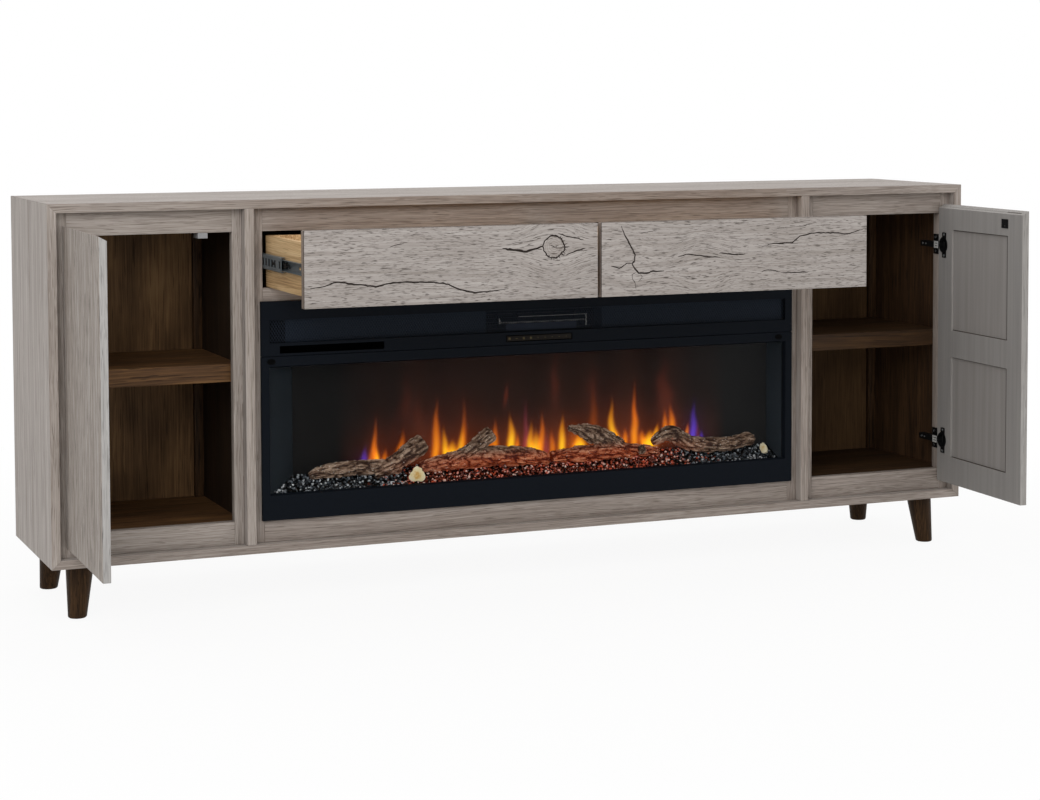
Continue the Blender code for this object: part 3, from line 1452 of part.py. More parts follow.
def build_spindle():
    """The turning spindle behind the screen, whose tabs make the light flicker."""
    centre = spindle_axis()
    spindle = cylinder(
        SPINDLE_DIAMETER / 2, 2 * FIREBOX_HALF, centre, axis="X", sides=SMALL_SIDES, name="spindle"
    )
    tabs = bmesh.new()
    pitch = 2 * FIREBOX_HALF / (SPINDLE_TABS + 1)
    for index in range(SPINDLE_TABS):
        made = bmesh.ops.create_cube(tabs, size=1)
        spans = (SPINDLE_TAB_WIDTH, SPINDLE_TAB_SHEET, 2 * SPINDLE_TAB_LENGTH)
        bmesh.ops.scale(tabs, vec=spans, verts=made["verts"])
        turn = Matrix.Rotation(math.radians(SPINDLE_TURN_DEG) * index, 4, "X")
        bmesh.ops.transform(tabs, matrix=turn, verts=made["verts"])
        place = (-FIREBOX_HALF + pitch * (index + 1), 0, 0)
        bmesh.ops.translate(tabs, vec=place, verts=made["verts"])
    plates = from_bmesh("spindle_tabs", tabs)
    plates.location = centre
    join(spindle, plates)
    add_part(spindle, "flame_spindle", finish("spindle_steel", (0.6, 0.6, 0.6), 0.25, metallic=1.0))


def log_curve(across, up, back, end_across, end_up, radius, name):
    """One log: a bent tube that is thinner at its waist."""
    curve = bpy.data.curves.new(name, "CURVE")
    curve.dimensions = "3D"
    curve.bevel_depth = radius
    curve.bevel_resolution = LOG_SIDES_RESOLUTION
    curve.use_fill_caps = True
    spline = curve.splines.new("POLY")
    spline.points.add(2)
    middle_x = (across + end_across) / 2
    middle_z = (up + end_up) / 2 - radius / 4
    knots = ((across, up, 1), (middle_x, middle_z, LOG_WAIST_SHARE), (end_across, end_up, 1))
    for knot, (x, z, thickness) in zip(spline.points, knots):
        knot.co = (x, back, z, 1)
        knot.radius = thickness
    return curve_to_mesh(bpy.data.objects.new(name, curve), name)


def build_log_set():
    """The ember bed, higher at the back and in the middle, with its logs."""
    front = HOUSING_FRONT + GLASS_THICKNESS + BED_SIDE_GAP
    back = front + BED_DEPTH - BED_SIDE_GAP
    half = FIREBOX_HALF - BED_SIDE_GAP
    shape = bmesh.new()
    made = bmesh.ops.create_grid(shape, x_segments=BED_SEGMENTS, y_segments=2, size=1)
    span = (back - front) / 2
    for vert in made["verts"]:
        share_across = vert.co.x
        share_back = (vert.co.y + 1) / 2
        crown = BED_CROWN * (1 - share_across**2)
        rise = BED_FRONT_RISE + (BED_BACK_RISE - BED_FRONT_RISE) * share_back
        vert.co.z = rise + crown * share_back
        vert.co.x *= half
        vert.co.y *= span
    top_faces = list(shape.faces)
    grown = bmesh.ops.extrude_face_region(shape, geom=top_faces)
    lowered = [item for item in grown["geom"] if isinstance(item, bmesh.types.BMVert)]
    for vert in lowered:
        vert.co.z = 0
    bmesh.ops.recalc_face_normals(shape, faces=shape.faces)
    bed = from_bmesh("bed", shape)
    bed.location = (0, (front + back) / 2, FIREBOX_FLOOR)

    line_y = HOUSING_FRONT + LOG_BACK
    line_z = FIREBOX_FLOOR + LOG_LIFT
    for index, shares in enumerate(LOG_SHARES):
        start_x, start_z, end_x, end_z, thick, deep = shares
        log = log_curve(
            start_x * LOG_REACH,
            line_z + start_z * LOG_RADIUS,
            line_y + deep * LOG_RADIUS,
            end_x * LOG_REACH,
            line_z + end_z * LOG_RADIUS,
            thick * LOG_RADIUS,
            f"log_{index}",
        )
        join(bed, log)
    add_part(bed, "log_set", finish("charred_log", (0.10, 0.035, 0.018), 0.55))


def main():
    """Build the whole console."""
    clear_scene()
    build_case()
    build_frames()
    build_bay_panels()
    build_legs()
    build_doors()
    for word, side in (("left", -1), ("right", 1)):
        build_drawer(word, side)
    build_fascia()
    build_grille()
    build_glass()
    build_housing()
    build_heater()
    build_blower()
    build_flame_screen()
    build_spindle()
    build_log_set()


main()
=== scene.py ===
"""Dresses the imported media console: timbers, hardware, fireplace insert, studio and camera.

All lengths are in metres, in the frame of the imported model. Names that end in _mm hold millimetres.
"""

import json
import logging
import math
import random
from collections.abc import Callable, Iterator
from contextlib import contextmanager
from dataclasses import dataclass, replace
from enum import Enum
from functools import partial
from itertools import product
from typing import Any, NamedTuple

import bmesh
import bpy
from mathutils import Matrix, Vector, noise


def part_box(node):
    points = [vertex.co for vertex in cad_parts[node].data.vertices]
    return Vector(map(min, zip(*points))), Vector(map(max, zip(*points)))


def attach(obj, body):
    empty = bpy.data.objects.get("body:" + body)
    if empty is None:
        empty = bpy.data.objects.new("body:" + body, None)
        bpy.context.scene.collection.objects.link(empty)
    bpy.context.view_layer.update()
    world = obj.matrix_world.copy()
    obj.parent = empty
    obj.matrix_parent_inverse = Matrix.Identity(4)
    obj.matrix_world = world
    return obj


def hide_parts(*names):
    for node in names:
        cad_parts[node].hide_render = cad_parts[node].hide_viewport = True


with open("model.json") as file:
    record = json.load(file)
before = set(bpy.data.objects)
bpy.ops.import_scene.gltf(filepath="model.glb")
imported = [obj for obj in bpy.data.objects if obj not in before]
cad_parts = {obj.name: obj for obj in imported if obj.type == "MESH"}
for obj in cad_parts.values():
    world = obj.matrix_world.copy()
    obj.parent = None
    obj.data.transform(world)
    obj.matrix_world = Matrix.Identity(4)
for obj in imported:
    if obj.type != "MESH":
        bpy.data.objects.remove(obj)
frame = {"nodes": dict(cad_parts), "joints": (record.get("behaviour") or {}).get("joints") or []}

LOG = logging.getLogger("media_console")
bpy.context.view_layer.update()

Point = tuple[float, float, float]
Flat = tuple[float, float]
Thing = bpy.types.Object
Node = bpy.types.Node
Socket = bpy.types.NodeSocket
Material = bpy.types.Material

MM = 0.001
# How far along the timber two following cuts lie apart, in metres
CUT_STEP = (1.37, 0.291, 0.173)
# The play between a frame's rails and the doors and drawers
REVEAL = 0.3 * MM


class Grain(Enum):
    """Which way a board's grain runs, as the turn that lays it along X."""

    ALONG_X = (0.0, 0.0, 0.0)
    ALONG_Y = (0.0, 0.0, math.radians(-90))
    ALONG_Z = (0.0, math.radians(90), 0.0)


class Side(Enum):
    """The left or the right half of the console."""

    LEFT = -1
    RIGHT = 1

    @property
    def word(self) -> str:
        """The side's word in the names of nodes and bodies."""
        return self.name.lower()

    def pick(self, left: Any, right: Any) -> Any:
        """The first value on the left side, the second on the right."""
        return left if self is Side.LEFT else right


# How far each door stands open in the photograph
DOOR_TURNS = {Side.LEFT: math.radians(-90.94), Side.RIGHT: math.radians(87.08)}


def clamp(share: float) -> float:
    """Hold a share between 0 and 1."""
    return min(1.0, max(0.0, share))


# Shader helpers


def linear(hex_colour: str) -> tuple[float, float, float, float]:
    """Turn an sRGB hex colour, such as "#a0988f", to linear light.

    Args:
        hex_colour: The colour.

    Returns:
        Red, green, blue and an alpha of 1.
    """
    shares = (int(hex_colour[i : i + 2], 16) / 255 for i in (1, 3, 5))
    bright = [s / 12.92 if s <= 0.04045 else ((s + 0.055) / 1.055) ** 2.4 for s in shares]
    return (*bright, 1.0)


def wire(node: Node, inputs: dict | tuple) -> None:
    """Feed a node's inputs, by name or in order, with values, hex colours, sockets or nodes.

    Args:
        node: The node.
        inputs: What feeds each input.
    """
    for key, value in inputs.items() if isinstance(inputs, dict) else enumerate(inputs):
        if isinstance(value, Node):
            value = next(out for out in value.outputs if out.enabled)
        if isinstance(value, Socket):
            node.id_data.links.new(value, node.inputs[key])
        else:
            node.inputs[key].default_value = linear(value) if isinstance(value, str) else value


def add_node(tree: bpy.types.NodeTree, kind: str, inputs: dict | tuple = (), stops: tuple = (), **settings) -> Node:
    """Add a shader node with its settings, values and links.

    Args:
        tree: The node tree that gets the node.
        kind: The node's type, without its ShaderNode prefix, then its operation or a Mix's data type.
        inputs: What feeds its inputs.
        stops: The places and hex colours or grey shares of a colour ramp.
        **settings: Properties of the node.

    Returns:
        The new node.
    """
    kind, _, operation = kind.partition(" ")
    made = tree.nodes.new("ShaderNode" + kind)
    if operation:
        setattr(made, "data_type" if kind == "Mix" else "operation", operation)
    for name, value in settings.items():
        setattr(made, name, value)
    for index, (place, colour) in enumerate(stops):
        knots = made.color_ramp.elements
        knot = knots[index] if index < len(knots) else knots.new(place)
        knot.position = place
        knot.color = linear(colour) if isinstance(colour, str) else (colour, colour, colour, 1.0)
    wire(made, inputs)
    return made


class Kit(NamedTuple):
    """What a material is made with: its shader, add_node bound to its tree, and the place in the object."""

    shader: Node
    add: partial
    place: Socket


def start_material(name: str) -> tuple[Material, Kit]:
    """Make a material with a Principled shader.

    Args:
        name: The material's name.

    Returns:
        The material and its kit.
    """
    made = bpy.data.materials.new(name)
    made.use_nodes = True
    add = partial(add_node, made.node_tree)
    return made, Kit(made.node_tree.nodes["Principled BSDF"], add, add("TexCoord").outputs["Object"])


class Finish:
    """What all finishes share: a name, and one material for it."""

    name: str

    def paint(self, kit: Kit) -> None:
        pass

    def material(self) -> Material:
        """Make, or find, the finish's material.

        Returns:
            The material.
        """
        if self.name in bpy.data.materials:
            return bpy.data.materials[self.name]
        made, kit = start_material(self.name)
        self.paint(kit)
        return made


# Timber finishes


@dataclass(frozen=True)
class Knot:
    """A knot, or the eye of a figure, that the grain flows around on a face to the front."""

    across: float
    up: float
    radius: float
    reach: float
    squeeze: float
    ringed: bool = True


@dataclass(frozen=True)
class Timber:
    """The tints (pale, middle, dark and pore) and the grain sizes of one timber under its stain."""

    name: str
    tints: tuple[str, str, str, str]
    band_mm: Flat
    fibre_mm: Flat
    pore_mm: Flat
    pore_level: float
    pore_strength: float
    worn: str | None = None
    check_mm: Flat | None = None
    fibre_share: float = 0.55
    sway_mm: float = 9.0
    roughness: Flat = (0.55, 0.72)
    relief_mm: float = 0.25
    gloss: float = 0.3
    spread: float = 0.14

    def layers(self, add: partial, place: Node | Socket, grain: Grain, cut: int) -> tuple[Node, Node]:
        """Build the grain: bands, fibres and pores, all stretched along one way.

        Args:
            add: add_node bound to the material's tree.
            place: A node whose output is the place in the object, in metres.
            grain: Which way the grain runs.
            cut: Which cut of the timber this board is.

        Returns:
            The colour node and the height node.
        """
        shift = tuple(cut * step for step in CUT_STEP)
        turned = add("Mapping", {"Vector": place, "Location": shift, "Rotation": grain.value})
        slow = add("Mapping", {"Vector": turned, "Scale": (2.2, 14.0, 14.0)})
        sway = add("TexNoise", {"Vector": slow, "Scale": 1.0, "Detail": 2.0})
        swing = (0.0, self.sway_mm * 2 * MM, self.sway_mm * 2 * MM)
        push = add("VectorMath MULTIPLY", (sway.outputs["Color"], swing))
        swayed = add("VectorMath ADD", (turned, push))

        def streaks(size_mm: Flat, detail: float, rough: float) -> Node:
            """Noise of a length and a width in millimetres along the grain.

            Args:
                size_mm: Their length and width.
                detail: The noise's detail.
                rough: Its roughness.

            Returns:
                The noise.
            """
            along, wide = (1 / (size * MM) for size in size_mm)
            drawn = add("Mapping", {"Vector": swayed, "Scale": (along, wide, wide)})
            return add("TexNoise", {"Vector": drawn, "Scale": 1.0, "Detail": detail, "Roughness": rough})

        bands = streaks(self.band_mm, 3.0, 0.55)
        fibre = streaks(self.fibre_mm, 3.0, 0.65)
        pores = streaks(self.pore_mm, 1.0, 0.5)
        tone = add("Mix FLOAT", {0: self.fibre_share, 2: bands, 3: fibre})
        pale, middle, dark, pore = self.tints
        tints = ((0.5 - self.spread, dark), (0.5, middle), (0.5 + self.spread, pale))
        colour = add("ValToRGB", (tone,), stops=tints)
        if self.worn:
            rubbed = streaks((self.band_mm[0] * 0.6, self.band_mm[1] * 0.5), 5.0, 0.7)
            share = add("ValToRGB", (rubbed,), stops=((0.55, 0.0), (0.72, 0.75)))
            colour = add("Mix RGBA", {0: share, 6: colour, 7: self.worn})
        low, high = self.pore_level - 0.05, self.pore_level + 0.02
        open_pores = add("ValToRGB", (pores,), stops=((low, self.pore_strength), (high, 0.0)))
        colour = add("Mix RGBA", {0: open_pores, 6: colour, 7: pore})
        if self.check_mm:
            checks = streaks(self.check_mm, 4.0, 0.75)
            opened = add("ValToRGB", (checks,), stops=((0.3, 0.9), (0.335, 0.0)))
            colour = add("Mix RGBA", {0: opened, 6: colour, 7: pore})
        height = add("Math SUBTRACT", (fibre, open_pores))
        return colour, height

    def dress(self, shader: Node, add: partial, colour: Node, height: Node) -> None:
        """Feed a shader with this timber's colour, gloss and relief.

        Args:
            shader: The board's shader.
            add: add_node bound to its tree.
            colour: The colour node.
            height: The height node.
        """
        smooth, rough = self.roughness
        bump = {"Height": height, "Strength": 0.6, "Distance": self.relief_mm * MM}
        dress = {"Base Color": colour, "Roughness": add("MapRange", (height, 0.2, 0.8, rough, smooth))}
        wire(shader, dress | {"Normal": add("Bump", bump), "Specular IOR Level": self.gloss})


# Limed and brushed oak veneer: the brushing leaves long, fine, darker lines under a grey veil.
# Its fibres are drawn 2.3 mm wide, wider than real ones, so that they show in the picture.
OAK = Timber(
    "limed_oak_veneer", tints=("#beb6b1", "#a9a19b", "#8c827b", "#6a5f57"), band_mm=(1500, 12),
    fibre_mm=(700, 2.3), pore_mm=(240, 1.7), pore_level=0.395, pore_strength=0.62, fibre_share=0.7, spread=0.115,
)
# The same oak as solid rails and stiles: the stain took more, so it is darker and browner.
FRAME_OAK = replace(
    OAK, name="stained_solid_oak", tints=("#aba199", "#998e86", "#81756d", "#62574e"), band_mm=(800, 11),
    fibre_mm=(230, 1.6), pore_mm=(50, 1.3), pore_level=0.395, fibre_share=0.75, spread=0.125,
)
# The same boards painted lighter, as painted light, on the left bay's frame and on the front edges of the left side
# panel and left partition.
LIT_FRAME_OAK = replace(FRAME_OAK, name="pale_solid_oak", tints=("#b6aca5", "#a69c94", "#8f857d", "#6d6259"))
# Rustic limed oak of the doors and drawer fronts: paler, with short dark checks and rubbed bands.
RUSTIC = Timber(
    "rustic_limed_oak", tints=("#b6afaa", "#a49c97", "#8f8780", "#453d37"), band_mm=(300, 9),
    fibre_mm=(110, 1.7), pore_mm=(17, 1.15), pore_level=0.382, pore_strength=0.85, check_mm=(38, 1.4),
    fibre_share=0.6, worn="#bcb6b1", relief_mm=0.45,
)
# The door faces: the same rustic oak with fewer checks, brushed longer.
DOOR_OAK = replace(
    RUSTIC, name="rustic_door_oak", tints=("#aea69f", "#998f87", "#83786f", "#453d37"), band_mm=(700, 9),
    fibre_mm=(260, 2.0), pore_mm=(60, 1.3), pore_level=0.39, check_mm=(90, 1.5), fibre_share=0.7, spread=0.08,
)
# Walnut-stained boards inside the bays: dark brown with near-black streaks, satin.
WALNUT = Timber(
    "walnut_stained_board", tints=("#5b4129", "#432e1c", "#2c1d11", "#1c120a"), band_mm=(600, 34),
    fibre_mm=(150, 4.0), pore_mm=(60, 3.0), pore_level=0.41, pore_strength=0.7, roughness=(0.5, 0.66), gloss=0.18,
)
# The back panel and the shelves: a lighter brown than the walnut of the bay walls.
BACK_WALNUT = replace(
    WALNUT, name="walnut_stained_back", tints=("#a07c53", "#7c5d3d", "#573f27", "#1c120a"),
    band_mm=(260, 110), fibre_mm=(170, 3.4), pore_mm=(80, 2.4), pore_level=0.36, pore_strength=0.5, fibre_share=0.4,
)
SHELF_WALNUT = replace(
    WALNUT, name="walnut_stained_shelf", tints=("#83603a", "#61442a", "#3f2b19", "#1c120a"),
    band_mm=(260, 40), fibre_mm=(190, 4.0), pore_level=0.36, gloss=0.2,
)
# The shelf walnut darkened as painted shade, for the right bay's shelf and floor.
SHADED_SHELF_WALNUT = replace(
    SHELF_WALNUT, name="walnut_stained_dark_shelf", tints=("#523a22", "#3b2817", "#261a0f", "#1c120a")
)
# The walnut darkened as painted shade, for the inside of the left partition.
SHADED_WALNUT = replace(WALNUT, name="walnut_stained_deep", tints=("#3b2a1c", "#2b1e12", "#1c130b", "#1c120a"))
BATTEN_WALNUT = replace(WALNUT, name="walnut_stained_batten", tints=("#5f452d", "#46311f", "#2c1e13", "#1c120a"))
# Turned beech under a dark brown stain: even, with a soft sheen.
STAINED_BEECH = Timber(
    "stained_beech", tints=("#4a3521", "#332314", "#20160d", "#140d07"), band_mm=(220, 12),
    fibre_mm=(60, 2.4), pore_mm=(18, 2.0), pore_level=0.38, pore_strength=0.6, roughness=(0.38, 0.52), gloss=0.08,
)
# Clear-lacquered pine of the drawer boxes: cream early wood between honey-coloured lines.
PINE = Timber(
    "lacquered_pine", tints=("#e9ca9b", "#d2af80", "#a5815a", "#8d6a45"), band_mm=(700, 13),
    fibre_mm=(220, 2.8), pore_mm=(140, 2.4), pore_level=0.4, pore_strength=0.6, roughness=(0.42, 0.58),
)


@dataclass(frozen=True)
class WoodFinish(Finish):
    """One board's timber, grain direction and cut."""

    timber: Timber
    grain: Grain
    cut: int = 0

    @property
    def name(self) -> str:
        """The name of the board's material."""
        return f"{self.timber.name}_{self.grain.name.lower()}_{self.cut}"

    def paint(self, kit: Kit) -> None:
        """Lay the board's grain.

        Args:
            kit: What the material is made with.
        """
        shader, add, place = kit
        self.timber.dress(shader, add, *self.timber.layers(add, place, self.grain, self.cut))


@dataclass(frozen=True)
class CasePanelFinish(Finish):
    """A case panel: limed oak outside, browner front edge, walnut stain where it lines the inside."""

    grain: Grain
    cut: int
    low: Point
    high: Point
    front: float
    lining: Timber = WALNUT
    edge: Timber = FRAME_OAK

    @property
    def name(self) -> str:
        """The name of the panel's material."""
        return f"case_panel_{self.grain.name.lower()}_{self.cut}"

    def paint(self, kit: Kit) -> None:
        """Lay two timbers that meet at the box of the case's inside, and the front edge's.

        Args:
            kit: What the material is made with.
        """
        shader, add, place = kit
        outside, height = OAK.layers(add, place, self.grain, self.cut)
        inside, _ = self.lining.layers(add, place, self.grain, self.cut)
        browner, _ = self.edge.layers(add, place, self.grain, self.cut)
        low, high = Vector(self.low), Vector(self.high)
        away = add("VectorMath SUBTRACT", (place, tuple((low + high) / 2)))
        away = add("VectorMath ABSOLUTE", (away,))
        past = add("SeparateXYZ", (add("VectorMath SUBTRACT", (away, tuple((high - low) / 2))),))
        furthest = add("Math MAXIMUM", (past.outputs[0], past.outputs[1]))
        within = add("Math LESS_THAN", (add("Math MAXIMUM", (furthest, past.outputs[2])), 0.0))
        depth = add("SeparateXYZ", (place,)).outputs[1]
        at_edge = add("Math LESS_THAN", (depth, self.front + 0.4 * MM))
        outside = add("Mix RGBA", {0: at_edge, 6: outside, 7: browner})
        OAK.dress(shader, add, add("Mix RGBA", {0: within, 6: outside, 7: inside}), height)


@dataclass(frozen=True)
class BackPanelFinish(Finish):
    """The back panel: brown at its left end, and darker to the right, a painted shade over the right bay."""

    cut: int
    start: float = -0.6
    end: float = 0.7
    name: str = "walnut_stained_back_panel"

    def paint(self, kit: Kit) -> None:
        """Lay the grain and darken it to the right, as painted shade.

        Args:
            kit: What the material is made with.
        """
        shader, add, place = kit
        colour, height = BACK_WALNUT.layers(add, place, Grain.ALONG_Z, self.cut)
        across = add("SeparateXYZ", (place,)).outputs[0]
        # Painted shade: the brown darkens towards the right bay.
        share = add("MapRange", (across, self.start, self.end, 0.0, 0.55))
        colour = add("Mix RGBA", {0: share, 6: colour, 7: "#2c1e13"})
        BACK_WALNUT.dress(shader, add, colour, height)


@dataclass(frozen=True)
class CrackedFrontFinish(Finish):
    """A drawer front: rustic oak whose grain flows round its knots, dark inside its cracks."""

    name: str
    cut: int
    knots: tuple[Knot, ...]
    face: float
    skin: float = 0.25 * MM
    crack_depth: float = 3.0 * MM
    ring_gap: float = 4.2 * MM
    ring_colour: str = "#7d7269"
    crack_colour: str = "#2e2621"
    edge_colour: str = "#78675a"

    def paint(self, kit: Kit) -> None:
        """Bend the grain at each knot, ring it, and stain the cracks and edges.

        Args:
            kit: What the material is made with.
        """
        shader, add, place = kit
        bent, rings = place, []
        for knot in self.knots:
            away = add("VectorMath SUBTRACT", (place, (knot.across, 0.0, knot.up)))
            flat = add("VectorMath MULTIPLY", (away, (1.0, 0.0, 1.0)))
            distance = add("VectorMath LENGTH", (flat,)).outputs["Value"]
            fade = (distance, knot.reach, knot.radius * 0.6, 0.0, knot.squeeze)
            pull = add("MapRange", fade, interpolation_type="SMOOTHERSTEP")
            upward = add("VectorMath MULTIPLY", (away, (0.0, 0.0, -1.0)))
            moved = add("VectorMath SCALE", {0: upward, "Scale": pull})
            bent = add("VectorMath ADD", (bent, moved))
            if knot.ringed:
                rings.append((knot, distance, flat))
        colour, height = RUSTIC.layers(add, bent, Grain.ALONG_X, self.cut)
        for knot, distance, flat in rings:
            wobble = add("TexNoise", {"Vector": flat, "Scale": 1 / (9 * MM), "Detail": 3.0})
            wavy = add("Math MULTIPLY_ADD", (wobble, 7 * MM, distance))
            ripple = add("Math SINE", (add("Math MULTIPLY", (wavy, 2 * math.pi / self.ring_gap)),))
            share = add("MapRange", (ripple, -1.0, 1.0, 0.0, 0.45))
            inside = add("Math LESS_THAN", (distance, knot.radius))
            share = add("Math MULTIPLY", (share, inside))
            colour = add("Mix RGBA", {0: share, 6: colour, 7: self.ring_colour})
        depth = add("SeparateXYZ", (place,)).outputs[1]
        sunk = add("Math GREATER_THAN", (depth, self.face + self.skin))
        near = add("Math LESS_THAN", (depth, self.face + self.crack_depth))
        behind = add("Math GREATER_THAN", (depth, self.face + self.crack_depth))
        cracked = add("Math MULTIPLY", (sunk, near))
        stained = add("Mix RGBA", {0: 0.7, 6: colour, 7: self.edge_colour})
        colour = add("Mix RGBA", {0: cracked, 6: colour, 7: self.crack_colour})
        colour = add("Mix RGBA", {0: behind, 6: colour, 7: stained})
        RUSTIC.dress(shader, add, colour, height)


@dataclass(frozen=True)
class DoorFinish(Finish):
    """A door: rustic oak on its outer face, smooth grey paint inside and on its edges."""

    name: str
    cut: int
    hinge: Point
    open_turn: float
    outer_face: float
    edge_veil: str = "#b6b7b7"
    edge_dash: str = "#77736f"
    paint_colours: tuple[str, str] = ("#868381", "#8e8b88")
    panel_colours: tuple[str, str] = ("#85817e", "#8e8a87")
    # Painted shade: the recess floors darken beside the free-side wall and at the heights of the recesses' top and
    # bottom edges.
    glaze: str = "#4a443f"
    thickness: float = 0.016
    width: float = 0.366
    rim: float = 0.03
    recess_depth: float = 10.0 * MM
    glaze_wide: float = 0.0108
    glaze_tall: float = 0.0022
    recess_end: float = 0.29
    recess_levels: tuple[float, ...] = (0.2099, 0.4421, 0.5031, 0.7344)

    def paint(self, kit: Kit) -> None:
        """Lay oak and paint, drawn for the closed door and turned to the open one.

        Args:
            kit: What the material is made with.
        """
        shader, add, place = kit
        away = add("VectorMath SUBTRACT", (place, self.hinge))
        local = add("Mapping", {"Vector": away, "Rotation": (0.0, 0.0, -self.open_turn)})
        oak, height = DOOR_OAK.layers(add, local, Grain.ALONG_Z, self.cut)
        drawn = add("Mapping", {"Vector": local, "Scale": (90.0, 90.0, 3.0)})
        brushed = add("TexNoise", {"Vector": drawn, "Scale": 1.0, "Detail": 3.0})
        paint, panel = (
            add("ValToRGB", (brushed,), stops=((0.35, dark), (0.65, pale)))
            for dark, pale in (self.paint_colours, self.panel_colours)
        )
        across, depth, up = add("SeparateXYZ", (local,)).outputs
        on_edge = add("Math LESS_THAN", (depth, self.outer_face + self.thickness - 0.05 * MM))
        veiled = add("Mix RGBA", {0: 0.55, 6: oak, 7: self.edge_veil})
        dashes = add("ValToRGB", (height,), stops=((0.0, 0.55), (0.14, 0.0)))
        bare = add("Mix RGBA", {0: dashes, 6: veiled, 7: self.edge_dash})
        paint = add("Mix RGBA", {0: on_edge, 6: paint, 7: bare})
        far = add("Math ABSOLUTE", (across,))
        deep = add("Math COMPARE", (depth, self.outer_face + self.recess_depth, 1.6 * MM))
        deep = add("Math MULTIPLY", (deep, add("Math GREATER_THAN", (far, self.rim))))
        deep = add("Math MULTIPLY", (deep, add("Math LESS_THAN", (far, self.width - self.rim))))
        # Painted shade: dark lines on the recess floors beside the free-side wall and along each recess's top and
        # bottom.
        shaded_line = add("Math GREATER_THAN", (far, self.recess_end - self.glaze_wide))
        for level in self.recess_levels:
            along = add("Math COMPARE", (up, level, self.glaze_tall))
            shaded_line = add("Math MAXIMUM", (shaded_line, along))
        panel = add("Mix RGBA", {0: shaded_line, 6: panel, 7: self.glaze})
        paint = add("Mix RGBA", {0: deep, 6: paint, 7: panel})
        outer = add("Math LESS_THAN", (depth, self.outer_face + 0.9 * MM))
        whole = add("Mix RGBA", {0: outer, 6: paint, 7: oak})
        DOOR_OAK.dress(shader, add, whole, add("Math MULTIPLY", (height, outer)))


# Metals, plastics, glass and fire


@dataclass(frozen=True)
class PlainFinish(Finish):
    """A metal, paint or plastic with a faint mottle, a varying gloss and a fine relief."""

    name: str
    colour: str
    second: str
    grit_mm: float
    roughness: Flat
    metallic: float = 0.0
    relief_mm: float = 0.02
    stretch: Point = (1.0, 1.0, 1.0)
    gloss: float = 0.15

    def paint(self, kit: Kit) -> None:
        """Lay the mottle, the gloss and the relief.

        Args:
            kit: What the material is made with.
        """
        shader, add, place = kit
        drawn = add("Mapping", {"Vector": place, "Scale": self.stretch})
        mottle = add("TexNoise", {"Vector": drawn, "Scale": 1 / (self.grit_mm * MM), "Detail": 4.0})
        bump = {"Height": mottle, "Strength": 0.4, "Distance": self.relief_mm * MM}
        dress = {
            "Base Color": add("ValToRGB", (mottle,), stops=((0.3, self.colour), (0.7, self.second))),
            "Roughness": add("MapRange", (mottle, 0.25, 0.75, *self.roughness)), "Normal": add("Bump", bump),
            "Metallic": self.metallic, "Specular IOR Level": 0.5 if self.metallic == 1.0 else self.gloss,
        }
        wire(shader, dress)


# Zinc-plated steel of the hinge screws: a cool soft shine.
ZINC = PlainFinish("zinc_plated_steel", "#8f9193", "#a9abac", 2.0, (0.28, 0.42), metallic=1.0, stretch=(1, 0.05, 1))
# Satin nickel of the hinge links and the heating element: a dull plating that scatters light.
LINK_NICKEL = PlainFinish("satin_nickel_link", "#adadab", "#c2c2bf", 1.5, (0.35, 0.5), metallic=0.2, gloss=0.4)
# Passivated zinc on the slides: a dull blue-grey film over drawn steel, with little mirror left.
SLIDE_ZINC = PlainFinish(
    "passivated_zinc_slide", "#596165", "#6f777b", 2.0, (0.3, 0.45), metallic=0.3, stretch=(1, 0.05, 1), gloss=0.4
)
# Black oxide on the glass screws: a dead black.
BLACK_OXIDE = PlainFinish("black_oxide_screw", "#020202", "#060606", 2.0, (0.5, 0.6), gloss=0.03)
# Black-phosphated steel of the hinges: nearly black, a soft satin.
PHOSPHATED = PlainFinish("black_phosphated_steel", "#0b0b0c", "#141415", 1.5, (0.38, 0.52))
# Powder-coated steel front of the insert: blue-black, with a fine orange peel.
POWDER_COAT = PlainFinish(
    "blue_black_powder_coat", "#0d1116", "#14181f", 1.4, (0.4, 0.54), relief_mm=0.03, gloss=0.04
)
# Galvanised sheet painted black for the housing: duller than the front.
HOUSING_BLACK = PlainFinish("black_stove_enamel", "#0c0d0e", "#141516", 2.5, (0.55, 0.7), gloss=0.08)
# The baffles behind the mesh: dark blue-black enamel that still shows through the holes.
BAFFLE_BLUE = PlainFinish("blue_black_baffle", "#19202a", "#242d39", 2.5, (0.5, 0.65), gloss=0.05)
# Expanded mesh, painted blue-black: its strands catch the light over dark holes.
MESH_BLACK = PlainFinish("painted_expanded_mesh", "#1b212a", "#272e39", 1.0, (0.4, 0.55), gloss=0.1)
# Moulded acetal of the catches and levers: an even, faintly oily look.
GREY_ACETAL = PlainFinish("grey_acetal", "#8f8f90", "#9d9d9e", 2.0, (0.35, 0.48), gloss=0.3)
BLACK_ACETAL = PlainFinish("black_acetal", "#060607", "#0c0c0d", 2.0, (0.32, 0.45))
# Acrylic over the display and the touch strip, and the ink of the marks.
DISPLAY_ACRYLIC = PlainFinish("black_gloss_acrylic", "#010101", "#020202", 6.0, (0.5, 0.6), relief_mm=0.0, gloss=0.0)
TOUCH_ACRYLIC = PlainFinish("smoked_brown_acrylic", "#14110e", "#1e1913", 3.0, (0.3, 0.4), relief_mm=0.0, gloss=0.08)
GILT_INK = PlainFinish("gilt_screen_ink", "#3c3526", "#5c533b", 1.0, (0.4, 0.5), gloss=0.05)
# Moulded nylon of the blower wheel: matt black.
NYLON = PlainFinish("black_nylon", "#0c0c0c", "#151515", 1.5, (0.4, 0.55))
